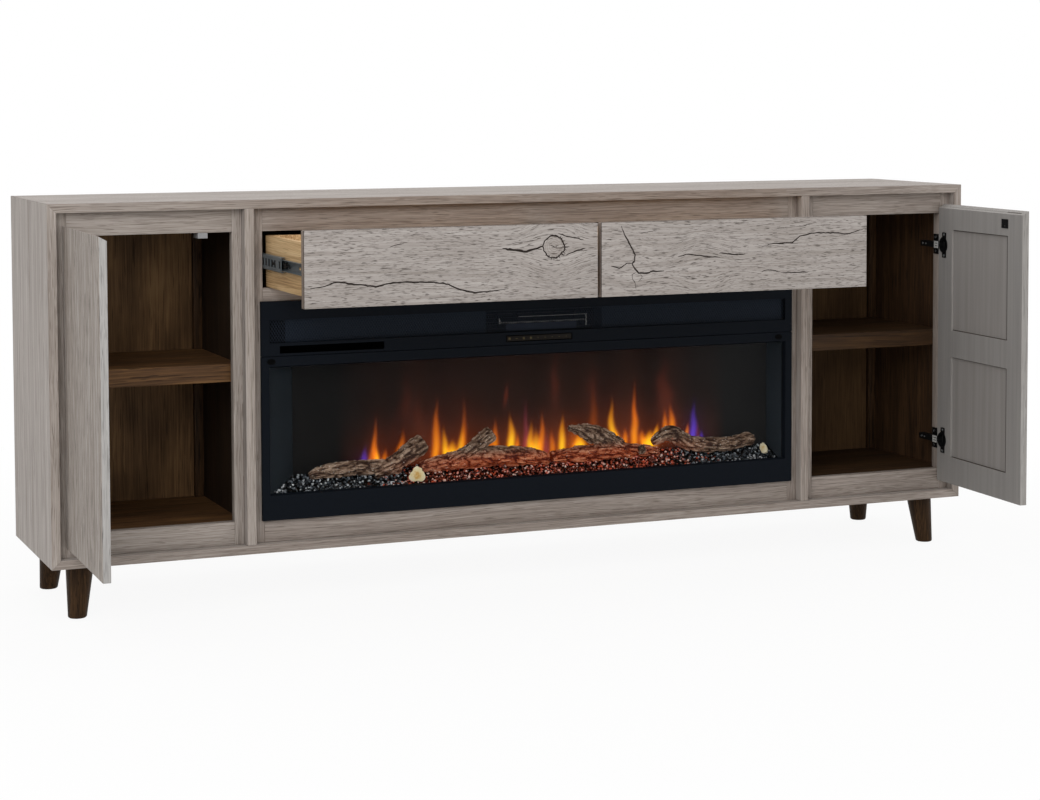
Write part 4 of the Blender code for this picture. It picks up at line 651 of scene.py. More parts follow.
# Aluminised steel of the heater duct, near-black: its colour stands in for the shade of the cavity behind the mesh.
SHADED_HEATER_STEEL = PlainFinish("blackened_heater_steel", "#040405", "#09090a", 3.0, (0.45, 0.6), gloss=0.04)
# Annealed steel strip under the heating coil: heat-blued.
BLUED_STEEL = PlainFinish("heat_blued_steel", "#0a1528", "#12203a", 4.0, (0.3, 0.45), gloss=0.2)
# The firebox's folded sides: the front's powder coat in a lighter batch.
LINER_COAT = PlainFinish("slate_powder_coat", "#20262b", "#2c3237", 3.0, (0.5, 0.65), gloss=0.06)
# The same coat painted lighter, as painted light, for the right liner.
LIT_LINER_COAT = replace(LINER_COAT, name="pale_slate_powder_coat", colour="#2b3238", second="#3b4249")
MIRROR_STEEL = PlainFinish("polished_steel", "#c8c8c8", "#dadada", 3.0, (0.08, 0.16), metallic=1.0)


@dataclass(frozen=True)
class ClearGlass(Finish):
    """Flat float glass of the insert: nearly unseen, with a thin reflection."""

    name: str = "clear_float_glass"

    def paint(self, kit: Kit) -> None:
        """Make the shader clear, under an uneven gloss.

        Args:
            kit: What the material is made with.
        """
        shader, add, place = kit
        smear = add("TexNoise", {"Vector": place, "Scale": 6.0, "Detail": 2.0})
        haze = add("MapRange", (smear, 0.3, 0.7, 0.03, 0.06))
        wire(shader, {"Roughness": haze, "Base Color": "#0c1014", "Specular IOR Level": 0.12, "Alpha": 0.06})


@dataclass(frozen=True)
class FlameScreenFinish(Finish):
    """Smoked acrylic that the flames show on: its glow, with a painted reflection near its ends, is painted on the
    mesh.
    """

    name: str = "smoked_acrylic_screen"
    attribute: str = "flame_glow"

    def paint(self, kit: Kit) -> None:
        """Lay a dark mottle under the glow.

        Args:
            kit: What the material is made with.
        """
        shader, add, place = kit
        mottle = add("TexNoise", {"Vector": place, "Scale": 14.0, "Detail": 2.0})
        dress = {
            "Base Color": add("ValToRGB", (mottle,), stops=((0.3, "#100f0e"), (0.7, "#161514"))),
            "Emission Color": add("Attribute", attribute_name=self.attribute, attribute_type="GEOMETRY"),
            "Emission Strength": 1.0, "Roughness": 0.6, "Specular IOR Level": 0.06,
        }
        wire(shader, dress)


@dataclass(frozen=True)
class CrystalFinish(Finish):
    """Tumbled glass chips: each chip has its own tint and few are bright; over the lamps they take painted lamp
    light, a red tint and a glow.
    """

    name: str
    dark: str
    middle: str
    bright: str
    glow: str = "#000000"
    glow_strength: float = 0.0
    gloss: float = 0.3

    def paint(self, kit: Kit) -> None:
        """Tint each chip by its own share, an attribute on its mesh.

        Args:
            kit: What the material is made with.
        """
        shader, add, _ = kit
        share = add("Attribute", attribute_name="chip_share", attribute_type="GEOMETRY").outputs["Fac"]
        stops = ((0.0, self.dark), (0.5, self.dark), (0.8, self.middle), (0.92, self.bright))
        lit = add("ValToRGB", (share,), stops=((0.3, 0.03), (0.6, 0.12), (0.84, 1.0), (0.94, 0.1)))
        light = {0: 1.0, 6: lit, 7: self.glow}
        dress = {
            "Base Color": add("ValToRGB", (share,), stops=stops),
            "Emission Color": add("Mix RGBA", light, blend_type="MULTIPLY"),
            "Emission Strength": self.glow_strength, "Roughness": 0.15, "Specular IOR Level": self.gloss,
        }
        wire(shader, dress)


@dataclass(frozen=True)
class BarkFinish(Finish):
    """Painted resin bark: black in its furrows, grey-brown on its plates, red where embers shine."""

    name: str = "painted_resin_bark"
    lit_half: float = 0.42
    lit_middle: float = 0.04
    lit_top: float = 0.288
    lit_full: float = 0.258
    tints: tuple[str, ...] = ("#33211a", "#7d6350", "#c4ab96")
    lit_tints: tuple[str, ...] = ("#57190a", "#ad5430", "#dd9a70")

    def paint(self, kit: Kit) -> None:
        """Tint the bark by its height, an attribute on its mesh, and light it low in the middle.

        Args:
            kit: What the material is made with.
        """
        shader, add, place = kit
        height = add("Attribute", attribute_name="bark_height", attribute_type="GEOMETRY").outputs["Fac"]
        drawn = add("Mapping", {"Vector": place, "Scale": (160.0, 420.0, 420.0)})
        ridges = add("TexNoise", {"Vector": drawn, "Scale": 1.0, "Detail": 3.0, "Roughness": 0.7})
        tone = add("Math ADD", (height, add("MapRange", (ridges, 0.3, 0.7, -0.3, 0.3))))
        bark, lit = (
            add("ValToRGB", (tone,), stops=tuple(zip((0.1, 0.45, 0.95), tints)))
            for tints in (self.tints, self.lit_tints)
        )
        across, _, up = add("SeparateXYZ", (place,)).outputs
        across = add("Math ABSOLUTE", (add("Math SUBTRACT", (across, self.lit_middle)),))
        middle = (across, self.lit_half, self.lit_half * 0.45, 0.0, 1.0)
        inner = add("MapRange", middle, interpolation_type="SMOOTHSTEP")
        low = (up, self.lit_top, self.lit_full, 0.0, 1.0)
        shine = add("Math MULTIPLY", (inner, add("MapRange", low, interpolation_type="SMOOTHSTEP")))
        glow = add("Math MULTIPLY", (shine, tone), use_clamp=True)
        bump = {"Height": ridges, "Strength": 0.8, "Distance": 0.8 * MM}
        dress = {
            "Base Color": add("Mix RGBA", {0: shine, 6: bark, 7: lit}),
            "Emission Color": add("Mix RGBA", {0: glow, 6: "#000000", 7: "#8c1d0a"}),
            "Emission Strength": 0.22, "Roughness": 0.6, "Specular IOR Level": 0.15, "Normal": add("Bump", bump),
        }
        wire(shader, dress)


@dataclass(frozen=True)
class SawnSliceFinish(Finish):
    """A sawn slice of branch: honey at its heart, cream further out, brown on its bark."""

    name: str
    heart: Point
    radius: float

    def paint(self, kit: Kit) -> None:
        """Lay uneven rings around the heart.

        Args:
            kit: What the material is made with.
        """
        shader, add, place = kit
        wobble = add("TexNoise", {"Vector": place, "Scale": 1 / (8 * MM), "Detail": 3.0})
        away = add("VectorMath DISTANCE", (place, self.heart)).outputs["Value"]
        share = add("Math DIVIDE", (away, self.radius))
        share = add("Math ADD", (share, add("MapRange", (wobble, 0.3, 0.7, -0.22, 0.22))))
        stops = ((0.05, "#b9822f"), (0.35, "#d9ab58"), (0.62, "#ecd9a2"), (1.0, "#f0e6c4"))
        bump = {"Height": wobble, "Strength": 0.5, "Distance": 0.5 * MM}
        wire(shader, {"Base Color": add("ValToRGB", (share,), stops=stops)})
        wire(shader, {"Roughness": 0.55, "Normal": add("Bump", bump)})


# Modelling helpers


def only(obj: Thing) -> None:
    """Select one object alone and make it active.

    Args:
        obj: The object.
    """
    bpy.ops.object.select_all(action="DESELECT")
    obj.select_set(True)
    bpy.context.view_layer.objects.active = obj


def apply_place(obj: Thing) -> None:
    """Put an object's place, turn and size into its mesh."""
    only(obj)
    bpy.ops.object.transform_apply(location=True, rotation=True, scale=True)


def start_primitive(name: str, operator: Callable, **settings) -> Thing:
    """Add a primitive with everything else deselected, and name it.

    Args:
        name: The object's name.
        operator: The operator that adds it.
        **settings: The operator's settings.

    Returns:
        The object.
    """
    bpy.ops.object.select_all(action="DESELECT")
    operator(**settings)
    made = bpy.context.active_object
    made.name = name
    return made


def link_object(name: str, data: bpy.types.ID) -> Thing:
    """Put data into the scene as a new object.

    Args:
        name: The object's name.
        data: Its mesh, curve, lamp or camera.

    Returns:
        The object.
    """
    made = bpy.data.objects.new(name, data)
    bpy.context.scene.collection.objects.link(made)
    return made


def copy_object(obj: Thing, name: str) -> Thing:
    """Copy an object into the scene with a mesh of its own.

    Args:
        obj: The object to copy.
        name: The copy's name.

    Returns:
        The copy.
    """
    made = obj.copy()
    made.name, made.data = name, obj.data.copy()
    bpy.context.scene.collection.objects.link(made)
    return made


def start_block(name: str, low: Point, high: Point) -> Thing:
    """Start a piece from a box between two corners.

    Args:
        name: The piece's name.
        low: One corner.
        high: The opposite corner.

    Returns:
        The box as an object, at the origin.
    """
    centre = (Vector(low) + Vector(high)) / 2
    obj = start_primitive(name, bpy.ops.mesh.primitive_cube_add, size=1, location=centre)
    obj.scale = [abs(end - start) for start, end in zip(low, high)]
    apply_place(obj)
    return obj


def start_rod(name: str, start: Point, end: Point, radius: float, sides: int = 16) -> Thing:
    """Start a piece from a capped cylinder between two points.

    Args:
        name: The piece's name.
        start: The middle of one end.
        end: The middle of the other end.
        radius: The cylinder's radius.
        sides: How many sides it has.

    Returns:
        The cylinder as an object, at the origin.
    """
    run = Vector(end) - Vector(start)
    shape = {"vertices": sides, "radius": radius, "depth": run.length}
    middle = (Vector(start) + Vector(end)) / 2
    obj = start_primitive(name, bpy.ops.mesh.primitive_cylinder_add, location=middle, **shape)
    obj.rotation_euler = run.to_track_quat("Z", "Y").to_euler()
    apply_place(obj)
    return obj


def smooth(obj: Thing, degrees: float = 30) -> None:
    """Shade an object smooth, but for edges sharper than an angle."""
    only(obj)
    bpy.ops.object.shade_smooth_by_angle(angle=math.radians(degrees))


def apply_modifier(obj: Thing, kind: str, **settings) -> None:
    """Add a modifier with its settings and apply it.

    Args:
        obj: The object.
        kind: The modifier's type.
        **settings: Its settings.
    """
    step = obj.modifiers.new(kind.title(), kind)
    for name, value in settings.items():
        setattr(step, name, value)
    only(obj)
    bpy.ops.object.modifier_apply(modifier=step.name)


def ease(obj: Thing, width: float = 0.8 * MM, segments: int = 2) -> Thing:
    """Round an object's sharp edges and shade it by angle.

    Args:
        obj: The object.
        width: How wide the rounding is.
        segments: How many faces it takes.

    Returns:
        The object.
    """
    corner = math.radians(40)
    apply_modifier(obj, "BEVEL", width=width, segments=segments, limit_method="ANGLE", angle_limit=corner)
    smooth(obj)
    return obj


def join_all(name: str, pieces: list[Thing]) -> Thing:
    """Join objects into one mesh under a name.

    Args:
        name: The mesh's name.
        pieces: The objects.

    Returns:
        The first object, which holds them all.
    """
    only(pieces[0])
    for piece in pieces:
        piece.select_set(True)
    bpy.ops.object.join()
    pieces[0].name = name
    return pieces[0]


def subtract(obj: Thing, tool: Thing) -> None:
    """Cut a tool out of an object, exactly, and delete the tool."""
    apply_modifier(obj, "BOOLEAN", operation="DIFFERENCE", solver="EXACT", object=tool, use_self=True)
    bpy.data.objects.remove(tool, do_unlink=True)


def cut_slots(obj: Thing, boxes: list[tuple[Point, Point]]) -> None:
    """Cut two or more boxes, each between two corners, out of an object."""
    subtract(obj, join_all("slots", [start_block("slot", *box) for box in boxes]))


@contextmanager
def editing(obj: Thing) -> Iterator[None]:
    """Open an object in edit mode with all of it selected, and close it again.

    Args:
        obj: The object.
    """
    only(obj)
    bpy.ops.object.mode_set(mode="EDIT")
    bpy.ops.mesh.select_all(action="SELECT")
    yield
    bpy.ops.object.mode_set(mode="OBJECT")


def merge_and_turn_out(obj: Thing) -> None:
    """Merge an object's doubled points and turn its faces outwards.

    Args:
        obj: The object.
    """
    with editing(obj):
        bpy.ops.mesh.remove_doubles(threshold=0.01 * MM)
        bpy.ops.mesh.normals_make_consistent(inside=False)


def wall_grid(grid: Thing, drop: Point) -> None:
    """Give a grid walls and a back: its rim is extruded and the new rim is closed.

    Args:
        grid: The grid.
        drop: Which way and how far its walls go.
    """
    with editing(grid):
        bpy.ops.mesh.region_to_loop()
        bpy.ops.mesh.extrude_region_move(TRANSFORM_OT_translate={"value": drop})
        bpy.ops.mesh.edge_face_add()
        bpy.ops.mesh.select_all(action="SELECT")
        bpy.ops.mesh.normals_make_consistent(inside=False)


def fit_piece(obj: Thing, finish: Finish, body: str = "console", nodes: tuple[str, ...] = ()) -> None:
    """Dress a finished piece and fix it to its body.

    Args:
        obj: The piece, with its place in its mesh.
        finish: A finish with a material method.
        body: The body that it moves with.
        nodes: The CAD nodes that it stands for.
    """
    obj.data.name = obj.name
    obj.data.materials.clear()
    obj.data.materials.append(finish.material())
    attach(obj, body)
    if nodes:
        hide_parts(*nodes)
    LOG.info("%s: %d faces, rides on %s", obj.name, len(obj.data.polygons), body)


def redress(node: str, finish: Finish) -> None:
    """Give a CAD node that stays its procedural material.

    Args:
        node: The node's name.
        finish: Its finish.
    """
    material = finish.material()
    for slot in frame["nodes"][node].material_slots:
        slot.material = material
    LOG.info("%s: %s", node, material.name)


@dataclass
class Case:
    """The case panels, partitions, shelves, floors and back."""

    skin: float = 0.4 * MM

    def dress(self) -> None:
        """Give each panel its timber, grain and cut."""
        top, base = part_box("top_panel"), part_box("base_panel")
        left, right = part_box("left_bay_frame"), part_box("right_bay_frame")
        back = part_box("back_panel")
        thickness = top[1].x - right[1].x
        low = (left[0].x - self.skin, left[1].y - self.skin, base[0].z + thickness - self.skin)
        high = (right[1].x + self.skin, back[1].y, top[1].z - thickness + self.skin)
        panels = {
            "top_panel": Grain.ALONG_X, "base_panel": Grain.ALONG_X, "left_side_panel": Grain.ALONG_Z,
            "right_side_panel": Grain.ALONG_Z, "left_partition": Grain.ALONG_Z, "right_partition": Grain.ALONG_Z,
        }
        for cut, (node, grain) in enumerate(panels.items()):
            finish = CasePanelFinish(grain, cut, low, high, top[0].y)
            # Painted light: the left side panel's and left partition's front edges take the lighter copy of the oak.
            if node in ("left_side_panel", "left_partition"):
                finish = replace(finish, edge=LIT_FRAME_OAK)
            # Painted shade: the left partition's inside takes the darkened walnut.
            if node == "left_partition":
                finish = replace(finish, lining=SHADED_WALNUT)
            redress(node, finish)
        redress("back_panel", BackPanelFinish(11))
        boards = (
            ("left_shelf", SHELF_WALNUT, Grain.ALONG_X, 12), ("left_bay_floor", SHELF_WALNUT, Grain.ALONG_X, 14),
            # Painted shade: the right bay's shelf and floor take the darkened shelf walnut.
            ("right_shelf", SHADED_SHELF_WALNUT, Grain.ALONG_X, 13),
            ("right_bay_floor", SHADED_SHELF_WALNUT, Grain.ALONG_X, 15),
            ("drawer_deck", WALNUT, Grain.ALONG_X, 16), ("drawer_divider", WALNUT, Grain.ALONG_Y, 17),
        )
        for node, *cut in boards:
            redress(node, WoodFinish(*cut))


@dataclass
class CornerBattens:
    """The glued battens in the rear corners of the bays, above and below each shelf."""

    width: float = 0.02
    depth: float = 0.013
    gap: float = 0.3 * MM

    def build(self) -> None:
        """Build two battens in each of the four corners."""
        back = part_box("back_panel")[0].y - self.gap
        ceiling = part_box("left_partition")[1].z - self.gap
        for side in Side:
            shelf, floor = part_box(side.word + "_shelf"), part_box(side.word + "_bay_floor")
            heights = {
                "lower": (floor[1].z + self.gap, shelf[0].z - self.gap), "upper": (shelf[1].z + self.gap, ceiling),
            }
            for corner, edge, way in (("left", shelf[0].x, 1), ("right", shelf[1].x, -1)):
                for level, (bottom, top) in heights.items():
                    low = (edge + way * self.gap, back - self.depth, bottom)
                    batten = start_block(
                        f"{side.word}_bay_{corner}_{level}_batten", low, (edge + way * self.width, back, top)
                    )
                    finish = WoodFinish(BATTEN_WALNUT, Grain.ALONG_Z, 5)
                    fit_piece(ease(batten, 1.0 * MM), finish)


@dataclass
class FaceFrames:
    """The rails and stiles of the three face frames, each its own board."""

    joint: float = 0.15 * MM
    hinge_stile: float = 0.0235
    latch_stile: float = 0.02
    top_rail: float = 0.0478
    bottom_rail: float = 0.0475
    front_thickness: float = 0.02
    centre_stile: float = 0.0228
    centre_bottom_rail: float = 0.0575
    middle_rail: float = 0.04
    drawer_opening: float = 0.1168

    def board(self, name: str, low: Point, high: Point, grain: Grain, cut: int, nodes: tuple[str, ...]) -> None:
        """Make one board with eased edges, and dress it.

        Args:
            name: The board's name.
            low: One corner.
            high: The opposite corner.
            grain: Which way its grain runs.
            cut: Which cut of the timber it is.
            nodes: The CAD nodes that it stands for.
        """
        obj = ease(start_block(name, low, high), 0.6 * MM)
        # Painted light: the left bay's frame takes the lighter copy of the oak.
        timber = LIT_FRAME_OAK if "left_bay_frame" in nodes else FRAME_OAK
        fit_piece(obj, WoodFinish(timber, grain, cut), nodes=nodes)

    def build_bay(self, side: Side, cut: int) -> None:
        """Build the four boards of one bay's frame.

        Args:
            side: Which bay.
            cut: The first board's cut.
        """
        node = side.word + "_bay_frame"
        low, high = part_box(node)
        way = side.value
        outer, inner = side.pick(low.x, high.x), side.pick(high.x, low.x)
        stile_edge = outer - way * self.hinge_stile
        latch_edge = inner + way * self.latch_stile
        front, back = low.y, low.y + self.front_thickness
        start, end = stile_edge - way * self.joint, latch_edge + way * self.joint
        top_low = (start, front, high.z - self.top_rail + REVEAL)
        bottom_high = (end, back, low.z + self.bottom_rail - REVEAL)
        boards = (
            ("hinge_stile", (outer, front, low.z), (stile_edge, high.y, high.z), Grain.ALONG_Z),
            ("latch_stile", (latch_edge, front, low.z), (inner, back, high.z), Grain.ALONG_Z),
            ("bay_top_rail", top_low, (end, back, high.z), Grain.ALONG_X),
            ("bay_bottom_rail", (start, front, low.z), bottom_high, Grain.ALONG_X),
        )
        for step, (name, *place) in enumerate(boards):
            self.board(f"{side.word}_{name}", *place, cut + step, (node,))

    def build_centre(self, cut: int) -> None:
        """Build the five boards of the centre frame.

        Args:
            cut: The first board's cut.
        """
        nodes = ("centre_frame",)
        low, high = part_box("centre_frame")
        for side in Side:
            edge = side.pick(low.x, high.x)
            inner = edge - side.value * self.centre_stile
            name = f"{side.word}_centre_stile"
            self.board(name, (edge, low.y, low.z), (inner, high.y, high.z), Grain.ALONG_Z, cut, nodes)
            cut += 1
        start = low.x + self.centre_stile + self.joint
        end = high.x - self.centre_stile - self.joint
        underside = high.z - self.top_rail + REVEAL
        middle_top = underside - self.drawer_opening
        rails = {
            "centre_top_rail": (underside, high.z),
            "centre_middle_rail": (middle_top - self.middle_rail, middle_top),
            "centre_bottom_rail": (low.z, low.z + self.centre_bottom_rail - REVEAL),
        }
        for name, (bottom, top) in rails.items():
            self.board(name, (start, low.y, bottom), (end, high.y, top), Grain.ALONG_X, cut, nodes)
            cut += 1

    def build(self) -> None:
        """Build all three frames."""
        self.build_bay(Side.LEFT, 20)
        self.build_bay(Side.RIGHT, 24)
        self.build_centre(28)


@dataclass(frozen=True)
class Crack:
    """A drying crack: points across and up the drawer front, and its widest width."""

    points: tuple[Flat, ...]
    width_mm: float
    closed: bool = False


LEFT_CRACKS = (
    Crack(
        (
            (-0.6095, 0.6773), (-0.5803, 0.6807), (-0.5584, 0.6879), (-0.5267, 0.6837), (-0.4985, 0.68),
            (-0.4773, 0.6761), (-0.4513, 0.6815), (-0.4227, 0.6832), (-0.3557, 0.6808), (-0.3267, 0.6762),
            (-0.3073, 0.6664), (-0.2708, 0.6573), (-0.2389, 0.6593), (-0.2054, 0.6618),
        ),
        3.9,
    ),
    Crack(((-0.2117, 0.7426), (-0.1845, 0.7391), (-0.1597, 0.7351), (-0.1422, 0.7401), (-0.1235, 0.7456)), 5.6),
    Crack(((-0.092, 0.7696), (-0.0719, 0.7635), (-0.0364, 0.7556)), 3.0),
    Crack(((-0.0745, 0.7256), (-0.0542, 0.7329), (-0.0314, 0.7382)), 3.0),
    Crack(((-0.4488, 0.7523), (-0.4321, 0.7568), (-0.4178, 0.7586)), 2.0),
    Crack(((-0.206, 0.75), (-0.178, 0.754), (-0.135, 0.758)), 1.4),
    Crack(((-0.111, 0.748), (-0.099, 0.7425), (-0.093, 0.7445)), 2.0),
)
RIGHT_CRACKS = (
    Crack(
        (
            (0.0487, 0.7815), (0.0555, 0.7631), (0.0687, 0.741), (0.0793, 0.7214), (0.0782, 0.7094),
            (0.0724, 0.7038), (0.0793, 0.6925), (0.0872, 0.6841), (0.1059, 0.6834), (0.1139, 0.6865), (0.145, 0.687),
        ),
        4.0,
    ),
    Crack(((0.0248, 0.7005), (0.0437, 0.6951), (0.0607, 0.7052), (0.0724, 0.7038)), 3.0),
    Crack(((0.0819, 0.6852), (0.0723, 0.6817), (0.0739, 0.671), (0.0792, 0.6636), (0.0818, 0.6495)), 1.8),
    Crack(((0.0899, 0.6825), (0.0952, 0.6761), (0.0845, 0.6658)), 1.5),
    Crack(((0.1758, 0.7146), (0.1947, 0.7194), (0.2382, 0.7141), (0.2737, 0.7101)), 3.0),
    Crack(((0.271, 0.719), (0.2792, 0.7195), (0.3067, 0.7155), (0.3316, 0.7162)), 3.2),
    Crack(
        (
            (0.3705, 0.7298), (0.3928, 0.7351), (0.4433, 0.7366), (0.4602, 0.7495), (0.4885, 0.7552),
            (0.5283, 0.7551), (0.5742, 0.7514), (0.5914, 0.7545), (0.6145, 0.7614),
        ),
        3.2,
    ),
    Crack(((0.3692, 0.6771), (0.3843, 0.681), (0.415, 0.6765)), 2.4),
    Crack(((0.415, 0.675), (0.4403, 0.6732), (0.477, 0.674)), 2.4),
    Crack(((0.0874, 0.7646), (0.1355, 0.7715)), 1.4), Crack(((0.4546, 0.7695), (0.4942, 0.775)), 1.6),
    Crack(((0.404, 0.7659), (0.4321, 0.7701)), 1.4),
)


@dataclass
class DrawerFront:
    """A drawer front with real cracks cut into its face."""

    side: Side
    cracks: tuple[Crack, ...]
    knots: tuple[Knot, ...]
    jitter_mm: float = 0.9

    def crack_tool(self, crack: Crack, face: float, draw: random.Random) -> Thing:
        """Draw a crack as a tapering tube along the face, to be cut out.

        Args:
            crack: The crack's line and width.
            face: The depth of the drawer front's face.
            draw: The source of its small wanderings.

        Returns:
            The tube as a mesh object.
        """
        steps = []
        for (ax, az), (bx, bz) in zip(crack.points, crack.points[1:]):
            count = max(2, round(math.hypot(bx - ax, bz - az) / (6 * MM)))
            for index in range(count):
                share = index / count
                wander = [draw.uniform(-1, 1) * self.jitter_mm * MM for _ in range(2)]
                if index == 0 and not crack.closed:
                    wander = (0.0, 0.0)
                steps.append((ax + (bx - ax) * share + wander[0], az + (bz - az) * share + wander[1]))
        if not crack.closed:
            steps.append(crack.points[-1])
        curve = bpy.data.curves.new("crack", "CURVE")
        curve.dimensions = "3D"
        curve.bevel_depth = crack.width_mm * MM / 2
        curve.bevel_resolution = 0
        curve.use_fill_caps = not crack.closed
        spline = curve.splines.new("POLY")
        spline.points.add(len(steps) - 1)
        spline.use_cyclic_u = crack.closed
        last = len(steps) - 1
        for index, ((across, up), knot) in enumerate(zip(steps, spline.points)):
            taper = 1.0 if crack.closed else min(1.0, 0.45 + 3.5 * min(index, last - index) / last)
            knot.co = (across, face, up, 1)
            knot.radius = taper * draw.uniform(0.72, 1.08)
        only(link_object("crack", curve))
        bpy.ops.object.convert(target="MESH")
        tool = bpy.context.active_object
        merge_and_turn_out(tool)
        return tool

    def around(self, knot: Knot, angle: float, share: float) -> Flat:
        """A place around a knot, at a share of its radius."""
        reach = knot.radius * share
        return (knot.across + reach * math.cos(angle), knot.up + reach * 0.93 * math.sin(angle))

    def build(self, cut: int) -> None:
        """Build, crack and dress the front.

        Args:
            cut: The board's cut, which seeds the cracks too.
        """
        node = self.side.word + "_drawer_front"
        low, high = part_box(node)
        front = ease(start_block(f"{self.side.word}_cracked_front", low, high), 1.0 * MM)
        draw = random.Random(40 + cut)
        for crack in self.cracks:
            subtract(front, self.crack_tool(crack, low.y, draw))
        for knot in self.knots:
            if knot.ringed:
                ring = tuple(self.around(knot, turn * math.pi / 9, draw.uniform(0.95, 1.05)) for turn in range(18))
                subtract(front, self.crack_tool(Crack(ring + ring[:1], 3.6, True), low.y, draw))
                for turn in range(-9, 5):
                    angle = turn * math.pi / 12 + draw.uniform(-0.08, 0.08)
                    tick = (self.around(knot, angle, 0.84), self.around(knot, angle, draw.uniform(1.14, 1.34)))
                    subtract(front, self.crack_tool(Crack(tick, 2.4), low.y, draw))
        smooth(front)
        finish = CrackedFrontFinish(f"{self.side.word}_rustic_oak_front", cut, self.knots, low.y)
        fit_piece(front, finish, self.side.word + "_drawer", (node,))


@dataclass
class Hardware:
    """Doors, hinges, slides, catches, drawer boxes and legs: the finishes of their CAD nodes."""

    outer_face: float = -0.0065

    def dress(self) -> None:
        """Dress the CAD nodes that stay."""
        for side in Side:
            word = side.word
            axis = next(j for j in frame["joints"] if j["name"] == word + "_door_hinge")["pos_m"]
            hinge, turn = (axis[0], axis[1], 0.0), DOOR_TURNS[side]
            finish = DoorFinish(f"{word}_door_oak_and_paint", 40 + side.value, hinge, turn, self.outer_face)
            # Painted shade: the right door's edges take a darker veil than the left door's.
            if side is Side.RIGHT:
                finish = replace(finish, edge_veil="#a0a09f")
            redress(word + "_door", finish)
            redress(word + "_drawer_box", WoodFinish(PINE, Grain.ALONG_Y, 50 + side.value))
            redress(word + "_strike", PHOSPHATED)
            redress(word + "_catch", GREY_ACETAL)
            for height, part in product(("upper", "lower"), ("cup", "arm")):
                redress(f"{word}_{height}_hinge_{part}", PHOSPHATED)
            for place, member in product(("outer", "inner"), ("cabinet", "drawer")):
                redress(f"{word}_{place}_slide_{member}_member", SLIDE_ZINC)
        for index, node in enumerate(("front_left_leg", "front_right_leg", "rear_left_leg", "rear_right_leg")):
            redress(node, WoodFinish(STAINED_BEECH, Grain.ALONG_Z, 60 + index))


@dataclass
class HingeTrim:
    """The nickel links and the screws of the four concealed hinges."""

    link_start: float = 2.9 * MM
    link_run: float = 16.9 * MM
    link_half: float = 8.0 * MM
    wing_reach: float = 14.5 * MM
    wing_screw: float = 24.0 * MM
    screw_radius: float = 3.0 * MM

    def screw_model(self) -> Thing:
        """Model one crosshead screw head at the origin, facing up.

        Returns:
            The head.
        """
        head = start_rod("screw_model", (0, 0, -0.6 * MM), (0, 0, 0.8 * MM), self.screw_radius, 20)
        reach = self.screw_radius * 0.62
        bars = ((reach, 0.4 * MM), (0.4 * MM, reach))
        cut_slots(head, [((-wide, -deep, 0.35 * MM), (wide, deep, 1.2 * MM)) for wide, deep in bars])
        return ease(head, 0.25 * MM)

    def screw(self, seat: Vector, out: Vector, size: float) -> Thing:
        """Copy the model screw onto a seat, facing out, at a share of its size.

        Args:
            seat: The middle of the seat.
            out: Which way the head faces.
            size: Its share of the model's radius.

        Returns:
            The copy.
        """
        head = copy_object(self.model, "screw")
        head.location = seat
        head.rotation_euler = out.to_track_quat("Z", "Y").to_euler()
        head.scale = (size, size, 1)
        apply_place(head)
        return head

    def build_one(self, side: Side, height: str) -> None:
        """Build one hinge's link plate and screws.

        Args:
            side: Which door.
            height: Upper or lower.
        """
        word = f"{side.word}_{height}"
        low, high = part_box(word + "_hinge_arm")
        middle = (low.z + high.z) / 2
        face = side.pick(high.x, low.x)
        way = side.value
        near, far = low.y + self.link_start, low.y + self.link_start + self.link_run
        plate = start_block(
            word + "_hinge_link", (face - way * 0.4 * MM, near, middle - self.link_half),
            (face + way * 0.25 * MM, far, middle + self.link_half),
        )
        front, back = (face - way * MM, near + 2.2 * MM), (face + way * MM, far - 3.4 * MM)
        levels = [middle + rise * MM for rise in (-3.0, 3.0)]
        cut_slots(plate, [((*front, level - 0.8 * MM), (*back, level + 0.8 * MM)) for level in levels])
        fit_piece(ease(plate, 0.15 * MM, 1), LINK_NICKEL)
        out = Vector((-way, 0, 0))
        screws = [
            self.screw(Vector((face + way * 10.6 * MM, low.y + 29.4 * MM, middle + rise)), out, 1.03)
            for rise in (-16 * MM, 16 * MM)
        ]
        screws.append(self.screw(Vector((face, low.y + 54.0 * MM, middle)), out, 0.87))
        screws.append(self.screw(Vector((face, low.y + 67.0 * MM, middle)), out, 0.97))
        fit_piece(join_all(word + "_arm_screws", screws), ZINC)
        cup_low, cup_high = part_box(word + "_hinge_cup")
        turn = DOOR_TURNS[side]
        out = Vector((-math.sin(turn), math.cos(turn), 0))
        corner = side.pick(cup_high, cup_low)
        across = cup_low.y + self.wing_reach
        place = corner.x + (across - corner.y) * -out.y / out.x
        middle = (cup_low.z + cup_high.z) / 2
        screws = [
            self.screw(Vector((place, across, middle + rise)), out, 1.0)
            for rise in (-self.wing_screw, self.wing_screw)
        ]
        fit_piece(join_all(word + "_cup_screws", screws), ZINC, side.word + "_door")

    def build(self) -> None:
        """Build the trim of all four hinges, and remove the model screw."""
        self.model = self.screw_model()
        for side, height in product(Side, ("upper", "lower")):
            self.build_one(side, height)
        bpy.data.objects.remove(self.model, do_unlink=True)


